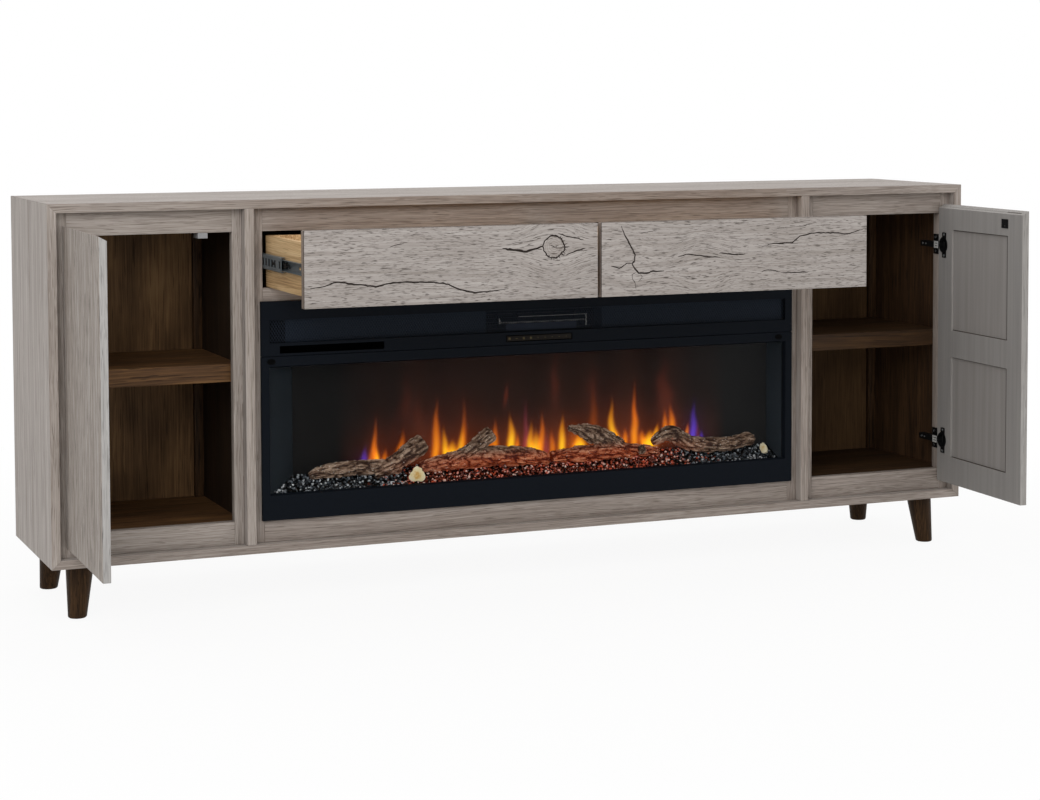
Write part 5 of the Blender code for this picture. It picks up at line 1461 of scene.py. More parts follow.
@dataclass
class SlideTrim:
    """The slides' slotted middle members, their ball retainers, and their release levers."""

    slots: tuple[float, ...] = (0.012, 0.045, 0.066, 0.087, 0.108, 0.129, 0.15, 0.171, 0.192, 0.213, 0.234)
    slot_half: Flat = (7.2 * MM, 7.6 * MM)
    sheet: float = 1.2 * MM

    def build_middle(self, side: Side, place: str, away: int) -> None:
        """Build the slotted copy of a middle member, and the retainer behind its slots.

        Args:
            side: Which drawer.
            place: Outer or inner.
            away: Which way the slide faces across.
        """
        node = f"{side.word}_{place}_slide_middle_member"
        low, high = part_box(node)
        face = low.x if away < 0 else high.x
        rise = (low.z + high.z) / 2
        copy = copy_object(frame["nodes"][node], f"{side.word}_{place}_slotted_member")
        merge_and_turn_out(copy)
        half_long, half_tall = self.slot_half
        out, inside = face + away * MM, face - away * (self.sheet + 0.15 * MM)
        bottom, top = rise - half_tall, rise + half_tall
        middles = [low.y + start for start in self.slots]
        cut_slots(copy, [((out, y - half_long, bottom), (inside, y + half_long, top)) for y in middles])
        smooth(copy)
        body = side.word + "_slide_middle"
        fit_piece(copy, SLIDE_ZINC, body, (node,))
        retainer = start_block(
            f"{side.word}_{place}_ball_retainer",
            (face - away * (self.sheet + 0.05 * MM), low.y + 4 * MM, rise - 8.5 * MM),
            (face - away * (self.sheet + 0.6 * MM), high.y - 4 * MM, rise + 8.5 * MM),
        )
        fit_piece(ease(retainer, 0.2 * MM, 1), BLACK_ACETAL, body)

    def build_lever(self, side: Side, place: str, away: int) -> None:
        """Build the release lever in the drawer member's channel, ahead of the middle member.

        Args:
            side: Which drawer.
            place: Outer or inner.
            away: Which way the slide faces across.
        """
        low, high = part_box(f"{side.word}_{place}_slide_drawer_member")
        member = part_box(f"{side.word}_{place}_slide_middle_member")
        mouth = low.x if away < 0 else high.x
        rise = (low.z + high.z) / 2
        near, far = mouth - away * 0.9 * MM, mouth - away * 4.6 * MM
        front = member[0].y

        def bar(start: Flat, end: Flat, radius: float) -> Thing:
            """A bar of the lever between two places ahead of and above its hub.

            Args:
                start: Where it starts.
                end: Where it ends.
                radius: Its radius.

            Returns:
                The bar.
            """
            first = Vector(((near + far) / 2, hub + start[0], rise + start[1]))
            last = Vector(((near + far) / 2, hub + end[0], rise + end[1]))
            return start_rod("bar", first, last, radius, 12)

        hub = front - 17 * MM
        pieces = [start_rod("hub", (near, hub, rise), (far, hub, rise), 5.6 * MM, 24)]
        bends = (
            ((0.0, 0.0), (9.0, 3.0), 2.0), ((9.0, 3.0), (14.0, 6.2), 1.6), ((0.0, 0.0), (8.0, -4.0), 1.9),
            ((8.0, -4.0), (12.5, -6.6), 1.5), ((0.0, 0.0), (-10.0, -1.5), 1.9),
            ((-10.0, -1.5), (-19.0, 3.0), 1.7), ((-19.0, 3.0), (-27.0, -2.5), 1.5), ((0.0, 0.0), (-7.0, 6.0), 1.5),
        )
        for start, end, radius in bends:
            flat = [(along * MM, up * MM) for along, up in (start, end)]
            pieces.append(bar(flat[0], flat[1], radius * MM))
            pieces.append(bar(flat[1], (flat[1][0] + 0.4 * MM, flat[1][1]), radius * MM))
        lever = ease(join_all(f"{side.word}_{place}_release_lever", pieces), 0.3 * MM, 1)
        fit_piece(lever, BLACK_ACETAL, side.word + "_drawer")

    def build(self) -> None:
        """Build the trim of all four slides."""
        for side in Side:
            for place, away in (("outer", side.value), ("inner", -side.value)):
                self.build_middle(side, place, away)
                self.build_lever(side, place, away)


@dataclass(frozen=True)
class Flame:
    """One tongue of flame on the screen, between its foot and its tip."""

    across: float
    foot: float
    tip: float
    half: float
    hue: str
    strength: float = 1.0
    lean: float = 0.0


class Hue(Enum):
    """The colours of a flame at its heart, its body and its edge, as linear light."""

    ORANGE = ((0.86, 0.27, 0.004), (0.66, 0.13, 0.003), (0.17, 0.019, 0.002))
    YELLOW = ((1.0, 0.58, 0.012), (0.88, 0.29, 0.006), (0.28, 0.042, 0.002))
    BLUE = ((0.09, 0.045, 0.55), (0.06, 0.025, 0.32), (0.022, 0.008, 0.1))
    RED = ((0.09, 0.013, 0.005), (0.06, 0.009, 0.004), (0.022, 0.0035, 0.002))
    PINK = ((0.22, 0.03, 0.055), (0.13, 0.017, 0.032), (0.045, 0.006, 0.01))


FLAMES = tuple(
    Flame(*row)
    for row in (
        (-0.3735, 0.255, 0.3, 0.009, "BLUE", 1.0, 0.006), (-0.348, 0.255, 0.358, 0.008, "ORANGE", 0.8, 0.004),
        (-0.36, 0.255, 0.32, 0.01, "ORANGE", 0.7, 0.016), (-0.3428, 0.255, 0.3, 0.007, "YELLOW", 1.0),
        (-0.3231, 0.255, 0.294, 0.009, "ORANGE", 0.9), (-0.296, 0.26, 0.33, 0.011, "ORANGE", 0.95, 0.012),
        (-0.2095, 0.262, 0.384, 0.011, "ORANGE", 1.0, 0.004), (-0.184, 0.262, 0.33, 0.009, "YELLOW", 1.0, -0.006),
        (-0.17, 0.262, 0.302, 0.016, "YELLOW", 1.2), (-0.154, 0.262, 0.338, 0.01, "YELLOW", 0.9, 0.008),
        (-0.1428, 0.28, 0.392, 0.008, "ORANGE", 0.45), (-0.085, 0.27, 0.318, 0.01, "ORANGE", 0.7),
        (-0.0693, 0.27, 0.34, 0.01, "ORANGE", 0.9), (-0.0343, 0.27, 0.346, 0.011, "YELLOW", 1.15),
        (-0.018, 0.27, 0.31, 0.006, "ORANGE", 0.9), (0.0008, 0.27, 0.385, 0.008, "PINK", 0.8),
        (0.0131, 0.262, 0.33, 0.01, "YELLOW", 0.9), (0.025, 0.262, 0.312, 0.014, "YELLOW", 1.0),
        (0.0381, 0.262, 0.348, 0.009, "ORANGE", 0.9, 0.003), (0.048, 0.262, 0.31, 0.009, "PINK", 0.7),
        (0.0632, 0.262, 0.312, 0.009, "ORANGE", 0.7), (0.0896, 0.262, 0.34, 0.01, "YELLOW", 1.0),
        (0.1263, 0.255, 0.3, 0.018, "YELLOW", 1.5), (0.118, 0.262, 0.33, 0.02, "ORANGE", 0.45),
        (0.1688, 0.27, 0.404, 0.014, "ORANGE", 0.35, -0.004), (0.2114, 0.27, 0.366, 0.01, "YELLOW", 1.0, -0.004),
        (0.22, 0.27, 0.305, 0.01, "YELLOW", 1.0), (0.2414, 0.27, 0.306, 0.008, "ORANGE", 0.9),
        (0.263, 0.268, 0.372, 0.011, "ORANGE", 1.0, 0.002), (0.264, 0.33, 0.416, 0.006, "ORANGE", 0.35),
        (0.2867, 0.268, 0.3, 0.01, "ORANGE", 1.0, -0.004), (0.302, 0.264, 0.296, 0.016, "YELLOW", 1.2),
        (0.3158, 0.268, 0.31, 0.009, "YELLOW", 1.1, 0.004), (0.3411, 0.285, 0.342, 0.008, "ORANGE", 0.9, -0.002),
        (0.3577, 0.285, 0.35, 0.01, "ORANGE", 1.0, -0.004), (0.3936, 0.275, 0.308, 0.006, "ORANGE", 0.9, 0.003),
        (0.4112, 0.265, 0.352, 0.01, "BLUE", 1.0), (0.423, 0.265, 0.315, 0.006, "PINK", 0.6, -0.004),
        (0.4302, 0.262, 0.29, 0.006, "BLUE", 0.9), (-0.2752, 0.34, 0.46, 0.017, "RED", 0.5),
        (-0.2474, 0.32, 0.415, 0.018, "RED", 0.5), (-0.308, 0.3, 0.4, 0.014, "RED", 0.3, 0.02),
        (-0.0486, 0.372, 0.428, 0.006, "RED", 1.0, 0.006), (0.0718, 0.36, 0.49, 0.014, "RED", 0.6),
        (0.1605, 0.37, 0.46, 0.02, "RED", 0.4), (0.35, 0.32, 0.46, 0.026, "RED", 0.85, -0.016),
        (0.2, 0.3, 0.47, 0.05, "RED", 0.25), (-0.17, 0.3, 0.47, 0.06, "RED", 0.22),
    )
)


@dataclass
class FlameScreen:
    """The screen behind the logs, with the flames' light and a painted reflection near its ends painted on its
    front.
    """

    columns: int = 440
    rows: int = 110
    thickness: float = 0.002
    haze: Point = (0.028, 0.0086, 0.0043)
    haze_top: float = 0.52
    haze_foot: float = 0.25
    haze_middle: float = 0.03
    haze_half: float = 0.46
    foot_glow: Point = (0.06, 0.01, 0.003)
    foot_middle: float = 0.285
    foot_half: float = 0.055
    # Painted reflection: a neutral glow towards the screen's ends, a quarter as strong on the left.
    mirrored: Point = (0.006, 0.0061, 0.0063)

    def glow(self, across: float, up: float) -> Vector:
        """The light at a place on the screen: the flames' glow, and a painted reflection towards its ends, strongest
        at the right.

        Args:
            across: The place across the screen.
            up: Its height.

        Returns:
            Red, green and blue, as linear light.
        """
        side = clamp(1 - (abs(across - self.haze_middle) / self.haze_half) ** 4)
        rise = clamp((self.haze_top - up) / (self.haze_top - self.haze_foot))
        streak = noise.noise(Vector((across * 18, up * 2.2, 2.0))) * 0.45 + 0.75
        low = math.exp(-(((up - self.foot_middle) / self.foot_half) ** 2))
        total = Vector(self.haze) * side * (0.25 + 0.75 * rise) * streak
        total = total + Vector(self.foot_glow) * side * low * streak
        # Painted reflection towards the ends of the screen.
        plain = clamp((abs(across) - 0.3) / 0.2)
        total = total + Vector(self.mirrored) * plain * (1.0 if across > 0 else 0.25)
        for flame in FLAMES:
            share = (up - flame.foot) / (flame.tip - flame.foot)
            if not -0.35 < share < 1.5:
                continue
            wave = noise.noise(Vector((flame.across * 50, up * 24, 5.0))) * flame.half * 0.45
            middle = flame.across + flame.lean * share + wave
            belly = max(0.25, 1 - 0.72 * max(0.0, share) ** 1.3) * (0.8 + 0.2 * min(1.0, 2 * abs(share)))
            away = (across - middle) / (flame.half * 1.12 * belly)
            foot = min(1.0, (share + 0.35) / (0.75 if flame.hue == "RED" else 0.3))
            tip = clamp((1.28 - share) / 1.15)
            fade = foot * tip * tip * (3 - 2 * tip)
            heat = math.exp(-(abs(away) ** 2.2)) * fade * flame.strength
            heart, mantle, edge = (Vector(c) for c in Hue[flame.hue].value)
            core = clamp(heat * 1.6 - 0.6) * clamp(1.15 - share)
            tint = mantle.lerp(heart, core) if heat > 0.45 else edge.lerp(mantle, heat / 0.45)
            halo = math.exp(-(((across - middle) / (flame.half * 2.6)) ** 2)) * fade * 0.16
            total = total + tint * heat + edge * halo * flame.strength
        return total

    def build(self) -> None:
        """Build the screen as a thin slab with a fine front, and paint its glow."""
        low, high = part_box("flame_screen")
        mesh = {"x_subdivisions": self.columns, "y_subdivisions": self.rows, "size": 1}
        screen = start_primitive("flame_picture_screen", bpy.ops.mesh.primitive_grid_add, **mesh)
        screen.rotation_euler = (math.radians(90), 0, 0)
        screen.scale = (high.x - low.x, high.z - low.z, 1)
        screen.location = ((low.x + high.x) / 2, low.y, (low.z + high.z) / 2)
        apply_place(screen)
        wall_grid(screen, (0, self.thickness, 0))
        layer = screen.data.color_attributes.new("flame_glow", "FLOAT_COLOR", "POINT")
        for point, paint in zip(screen.data.vertices, layer.data):
            paint.color = (*self.glow(point.co.x, point.co.z), 1.0)
        fit_piece(screen, FlameScreenFinish(), nodes=("flame_screen",))


@dataclass(frozen=True)
class LogShape:
    """One log: its middle line, its radius at each point, its seed, and how far embers light it."""

    name: str
    points: tuple[Point, ...]
    radii_mm: tuple[float, ...]
    seed: int
    lit_half: float = 0.42


LOGS = (
    LogShape(
        "long_left_log",
        (
            (-0.5, 0.044, 0.25), (-0.465, 0.044, 0.258), (-0.42, 0.042, 0.261), (-0.36, 0.04, 0.261),
            (-0.3, 0.036, 0.256),
        ),
        (8, 14, 16.5, 16, 13), 1,
    ),
    LogShape(
        "left_branch",
        ((-0.362, 0.034, 0.25), (-0.325, 0.033, 0.262), (-0.285, 0.033, 0.286), (-0.249, 0.033, 0.307)),
        (14, 18, 21, 21.5), 2,
    ),
    LogShape(
        "middle_left_log",
        (
            (-0.252, 0.044, 0.252), (-0.19, 0.042, 0.261), (-0.12, 0.042, 0.265), (-0.047, 0.041, 0.265),
            (0.01, 0.04, 0.258), (0.042, 0.04, 0.252),
        ),
        (13, 18.5, 21, 21.5, 18.5, 13), 3,
    ),
    LogShape(
        "middle_branch",
        ((-0.19, 0.036, 0.262), (-0.152, 0.036, 0.276), (-0.12, 0.035, 0.298), (-0.092, 0.034, 0.319)),
        (14, 16, 17, 16.5), 4,
    ),
    LogShape(
        "middle_right_log",
        (
            (0.05, 0.041, 0.254), (0.11, 0.042, 0.258), (0.18, 0.042, 0.259), (0.245, 0.042, 0.259),
            (0.31, 0.04, 0.252),
        ),
        (15, 17, 17, 15.5, 10), 5,
    ),
    LogShape(
        "right_branch",
        (
            (0.222, 0.036, 0.269), (0.186, 0.036, 0.285), (0.15, 0.036, 0.3), (0.118, 0.036, 0.312),
            (0.09, 0.036, 0.317),
        ),
        (12, 19, 22, 14, 5), 6,
    ),
    LogShape(
        "long_right_log",
        (
            (0.296, 0.044, 0.273), (0.34, 0.042, 0.29), (0.385, 0.04, 0.267), (0.43, 0.04, 0.259),
            (0.48, 0.04, 0.259), (0.525, 0.042, 0.264), (0.549, 0.043, 0.263),
        ),
        (9, 19, 16.5, 16.5, 15.5, 14.5, 13), 7,
    ),
    LogShape("burl_stub", ((0.262, 0.036, 0.258), (0.259, 0.0175, 0.265)), (11, 9), 8, 0.01),
)


@dataclass
class LogMaker:
    """Turns a log's line into a barked, bent and knotty piece."""

    sides: int = 40
    ring_gap: float = 2.6 * MM
    ridge_mm: float = 2.3

    def bark(self, angle: float, along: float, seed: int) -> float:
        """The bark's height at a place, from 0 in a furrow to 1 on a plate.

        Args:
            angle: The place around the log.
            along: Its distance along the log.
            seed: The log's seed.

        Returns:
            The height as a share.
        """
        seat = Vector((math.cos(angle) * 1.9, math.sin(angle) * 1.9, along * 30 + seed * 9))
        near, second = noise.voronoi(seat)[0][:2]
        furrow = max(0.0, 1 - (second - near) / 0.2)
        grain = noise.fractal(Vector((seat.x * 2.2, seat.y * 2.2, seat.z * 1.1)), 0.7, 2.1, 4)
        return clamp(0.62 + 0.55 * grain - 0.7 * furrow)

    def line(self, shape: LogShape) -> list[tuple[Vector, float]]:
        """The middle line and radius at close steps, as a smooth curve.

        Args:
            shape: The log.

        Returns:
            The place and the radius at each step.
        """
        points = [Vector(p) for p in shape.points]
        radii = [r * MM for r in shape.radii_mm]
        ends = [2 * points[0] - points[1], *points, 2 * points[-1] - points[-2]]
        sizes = [radii[0], *radii, radii[-1]]
        made = []
        for index in range(len(points) - 1):
            a, b, c, d = ends[index : index + 4]
            count = max(4, round((c - b).length / self.ring_gap))
            for step in range(count + (index == len(points) - 2)):
                t = step / count
                place = 0.5 * (
                    2 * b + (c - a) * t + (2 * a - 5 * b + 4 * c - d) * t * t + (3 * b - a - 3 * c + d) * t**3
                )
                size = sizes[index + 1] + (sizes[index + 2] - sizes[index + 1]) * t
                made.append((place, size))
        return made

    def build(self, shape: LogShape) -> Thing:
        """Build one log's mesh.

        Args:
            shape: The log.

        Returns:
            The log as an object, with its ends closed.
        """
        rings = self.line(shape)
        open_tube = {"vertices": self.sides, "radius": 1, "depth": 1, "end_fill_type": "NOTHING"}
        log = start_primitive(shape.name, bpy.ops.mesh.primitive_cylinder_add, **open_tube)
        shell = bmesh.new()
        grid, heights = [], []
        self.surface = []
        along = 0.0
        for index, (place, size) in enumerate(rings):
            before, after = rings[max(index - 1, 0)][0], rings[min(index + 1, len(rings) - 1)][0]
            along += (place - before).length
            turn = (after - before).to_track_quat("Z", "Y").to_matrix()
            share = index / (len(rings) - 1)
            blunt = min(1.0, 0.88 + 4 * min(share, 1 - share))
            ring = []
            for side in range(self.sides):
                angle = 2 * math.pi * side / self.sides
                spot = Vector((math.cos(angle), math.sin(angle), 0))
                height = self.bark(angle, along, shape.seed)
                lump = noise.noise(Vector((spot.x, spot.y, along * 22 + shape.seed * 5)))
                reach = size * blunt * (1 + 0.16 * lump) + (height - 0.6) * 2 * self.ridge_mm * MM
                point = place + turn @ (spot * max(reach, size * 0.5))
                ring.append(shell.verts.new(point))
                heights.append(height)
                self.surface.append((point, turn @ spot, height))
            grid.append(ring)
        for near, far in zip(grid, grid[1:]):
            for side in range(self.sides):
                after = (side + 1) % self.sides
                shell.faces.new((near[side], near[after], far[after], far[side]))
        for ring, (place, _), way in ((grid[0], rings[0], 1), (grid[-1], rings[-1], -1)):
            inward = (rings[1][0] - rings[0][0] if way > 0 else rings[-2][0] - rings[-1][0]).normalized()
            rim = [shell.verts.new(point.co.lerp(place, 0.16) + inward * 0.2 * MM) for point in ring]
            hub = shell.verts.new(place + inward * 1.5 * MM)
            heights += [0.18] * self.sides + [0.3]
            for side in range(self.sides):
                after = (side + 1) % self.sides
                shell.faces.new((ring[side], rim[side], rim[after], ring[after]))
                shell.faces.new((rim[side], hub, rim[after]))
        bmesh.ops.recalc_face_normals(shell, faces=shell.faces)
        shell.to_mesh(log.data)
        shell.free()
        log.data.attributes.new("bark_height", "FLOAT", "POINT").data.foreach_set("value", heights)
        smooth(log, 42)
        return log


class ChipHeap:
    """Glass chips gathered into one mesh, each with its own share of tint."""

    def __init__(self, name: str, finish: CrystalFinish, model: Thing) -> None:
        """Start an empty heap.

        Args:
            name: The heap's name.
            finish: Its finish.
            model: The chip that is repeated.
        """
        self.name, self.finish = name, finish
        self.corners = [point.co.copy() for point in model.data.vertices]
        self.faces = [tuple(face.vertices) for face in model.data.polygons]
        self.points, self.sides, self.shares = [], [], []

    def add(self, middle: Vector, size: float, draw: random.Random) -> None:
        """Add one chip at a place, turned and stretched at random.

        Args:
            middle: The chip's middle.
            size: Its radius.
            draw: The source of its turn and shape.
        """
        axis = Vector((draw.uniform(-1, 1), draw.uniform(-1, 1), 1)).normalized()
        turn = Matrix.Rotation(draw.uniform(0, math.pi), 3, axis)
        start = len(self.points)
        for corner in self.corners:
            squashed = Vector((corner.x, corner.y * 0.72, corner.z * 0.55)) * size * draw.uniform(0.62, 1.2)
            self.points.append(middle + turn @ squashed)
        self.sides.extend(tuple(start + corner for corner in face) for face in self.faces)
        self.shares.extend([draw.random()] * len(self.corners))

    def fit(self) -> None:
        """Make the heap's mesh and fit it."""
        mesh = bpy.data.meshes.new(self.name)
        mesh.from_pydata(self.points, [], self.sides)
        mesh.attributes.new("chip_share", "FLOAT", "POINT").data.foreach_set("value", self.shares)
        fit_piece(link_object(self.name, mesh), self.finish)


@dataclass
class EmberBed:
    """The tray's mound, its glass chips and the logs on it."""

    clearance: float = 0.004
    front_rise: float = 0.029
    back_rise: float = 0.055
    crown: float = 0.01
    chips: int = 3000
    chip_mm: Flat = (2.2, 4.4)
    flecks_per_m: int = 5200
    fleck_mm: Flat = (0.7, 1.7)
    slice_sides: int = 22

    def height(self, across: float, depth: float) -> float:
        """How high the bed is at a place, across from -1 to 1 and from front to back 0 to 1."""
        rise = self.front_rise + (self.back_rise - self.front_rise) * depth
        return rise + self.crown * (1 - across**2) * depth

    def build_mound(self, low: Vector, high: Vector) -> None:
        """Build the mound that carries chips and logs, in the place of the CAD log set.

        Args:
            low: The bed's lowest corner.
            high: Its highest corner.
        """
        mesh = {"x_subdivisions": 240, "y_subdivisions": 16, "size": 2}
        mound = start_primitive("ember_mound", bpy.ops.mesh.primitive_grid_add, **mesh)
        wall_grid(mound, (0, 0, -1))
        half = (high.x - low.x) / 2
        for point in mound.data.vertices:
            across, depth = point.co.x, (point.co.y + 1) / 2
            lump = noise.noise(Vector((across * 70, depth * 6, 0))) * 1.5 * MM
            top = low.z + self.height(across, depth) - 2.0 * MM + lump
            place = Vector(((low.x + high.x) / 2 + across * half, low.y + depth * (high.y - low.y), low.z))
            if point.co.z > -0.5:
                place.z = top
            point.co = place
        finish = CrystalFinish("ember_mound_resin", "#0b0908", "#1b1412", "#2a1a14")
        fit_piece(mound, finish, nodes=("log_set",))

    def lit(self, across: float, draw: random.Random) -> bool:
        """Whether a chip at a place, from -1 to 1, lies over the lamps."""
        return draw.gauss(0.0, 0.07) + abs(across - 0.06) < 0.56

    def build_chips(self, low: Vector, high: Vector) -> None:
        """Strew the glass chips, in three heaps of their own colours.

        Args:
            low: The bed's lowest corner.
            high: Its highest corner.
        """
        model = start_primitive("chip", bpy.ops.mesh.primitive_ico_sphere_add, subdivisions=1, radius=1)
        cold = CrystalFinish("smoked_glass_chips", "#2b3035", "#6b737a", "#e2e7ec", gloss=0.5)
        # The chips over the lamps: the same glass with the lamps' red light painted into their tint and glow.
        lamp_lit = CrystalFinish("amber_glass_embers", "#632c1d", "#a3573e", "#f6ddcf", "#c8380f", 0.4, 0.5)
        heaps = {
            "left_chips": ChipHeap("left_chips", cold, model),
            "right_chips": ChipHeap("right_chips", replace(cold, name="smoked_glass_chips_right"), model),
            "glowing_embers": ChipHeap("glowing_embers", lamp_lit, model),
        }
        bpy.data.objects.remove(model, do_unlink=True)
        draw = random.Random(7)
        for _ in range(self.chips):
            across, depth = draw.uniform(-0.985, 0.985), draw.random() ** 1.2
            cool = "left_chips" if across < 0 else "right_chips"
            heap = heaps["glowing_embers" if self.lit(across, draw) else cool]
            place = (
                (low.x + high.x) / 2 + across * (high.x - low.x) / 2,
                low.y + 3 * MM + depth * (high.y - low.y - 6 * MM),
                low.z + self.height(across, depth) + draw.uniform(-1.5, 2.0) * MM,
            )
            heap.add(Vector(place), draw.uniform(*self.chip_mm) * MM, draw)
        for heap in heaps.values():
            heap.fit()

    def build_logs(self, half: float) -> None:
        """Build the logs, and strew glass flecks over their bark.

        Args:
            half: Half the bed's width.
        """
        eight_sided = {"segments": 4, "ring_count": 2, "radius": 1}
        model = start_primitive("fleck", bpy.ops.mesh.primitive_uv_sphere_add, **eight_sided)
        cold = CrystalFinish("smoked_glass_flecks", "#37291d", "#9a8874", "#fbf7ee", gloss=0.5)
        # The flecks low on the bark over the lamps: the same glass with the red light painted into their tint and
        # glow.
        lamp_lit = CrystalFinish("amber_glass_flecks", "#521e0e", "#b3613d", "#fae0cb", "#c8380f", 0.3, 0.5)
        heaps = {True: ChipHeap("lit_bark_flecks", lamp_lit, model), False: ChipHeap("cold_bark_flecks", cold, model)}
        bpy.data.objects.remove(model, do_unlink=True)
        draw = random.Random(17)
        maker = LogMaker()
        for shape in LOGS:
            log = maker.build(shape)
            run = sum((Vector(b) - Vector(a)).length for a, b in zip(shape.points, shape.points[1:]))
            for _ in range(round(self.flecks_per_m * run)):
                point, out, height = draw.choice(maker.surface)
                size = draw.uniform(*self.fleck_mm) * MM
                if out.z < -0.6 or height < 0.3:
                    continue
                warm = self.lit(point.x / half, draw) and point.z < 0.284
                heaps[warm].add(point + out * size * 0.25, size, draw)
            finish = BarkFinish() if shape.lit_half > 0.1 else BarkFinish("painted_resin_burl", shape.lit_half)
            fit_piece(log, finish, nodes=("log_set",))
        for heap in heaps.values():
            heap.fit()

    def build_slice(self, name: str, middle: Point, half: Point, turn: Point, corners: float) -> None:
        """Build a sawn slice of branch that lies on the bed.

        Args:
            name: The slice's name.
            middle: The middle of the slice.
            half: Half its width, half its height and half its thickness.
            turn: Its turns about X, Y and Z, in degrees.
            corners: How far it is from round towards three-cornered, as a share.
        """
        draw = random.Random(name)
        disc = {"vertices": self.slice_sides, "radius": 1, "depth": 2}
        piece = start_primitive(name, bpy.ops.mesh.primitive_cylinder_add, **disc)
        reaches = [
            draw.uniform(0.86, 1.06) + corners * math.cos(6 * math.pi * step / self.slice_sides)
            for step in range(self.slice_sides)
        ]
        for index, point in enumerate(piece.data.vertices):
            reach = reaches[index // 2] * (1.0 if point.co.z > 0 else 0.9)
            point.co.x *= reach
            point.co.y *= reach
        piece.scale = half
        piece.rotation_euler = [math.radians(angle) for angle in turn]
        piece.location = middle
        apply_place(piece)
        finish = SawnSliceFinish(name + "_wood", middle, half[0])
        fit_piece(ease(piece, 1.0 * MM), finish)

    def build(self) -> None:
        """Build the mound, the chips, the logs and the slices."""
        glass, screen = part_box("glass_pane"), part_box("flame_screen")
        log_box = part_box("log_set")
        low = Vector((log_box[0].x, glass[1].y + self.clearance, log_box[0].z))
        high = Vector((log_box[1].x, screen[0].y - self.clearance, log_box[1].z))
        self.build_mound(low, high)
        self.build_chips(low, high)
        self.build_logs(high.x)
        self.build_slice("left_sawn_slice", (-0.2706, 0.015, 0.242), (0.018, 0.0165, 0.0045), (78, 0, -14), 0.15)
        self.build_slice("right_sawn_slice", (0.5655, 0.021, 0.245), (0.0085, 0.014, 0.0045), (62, -28, -46), 0.0)


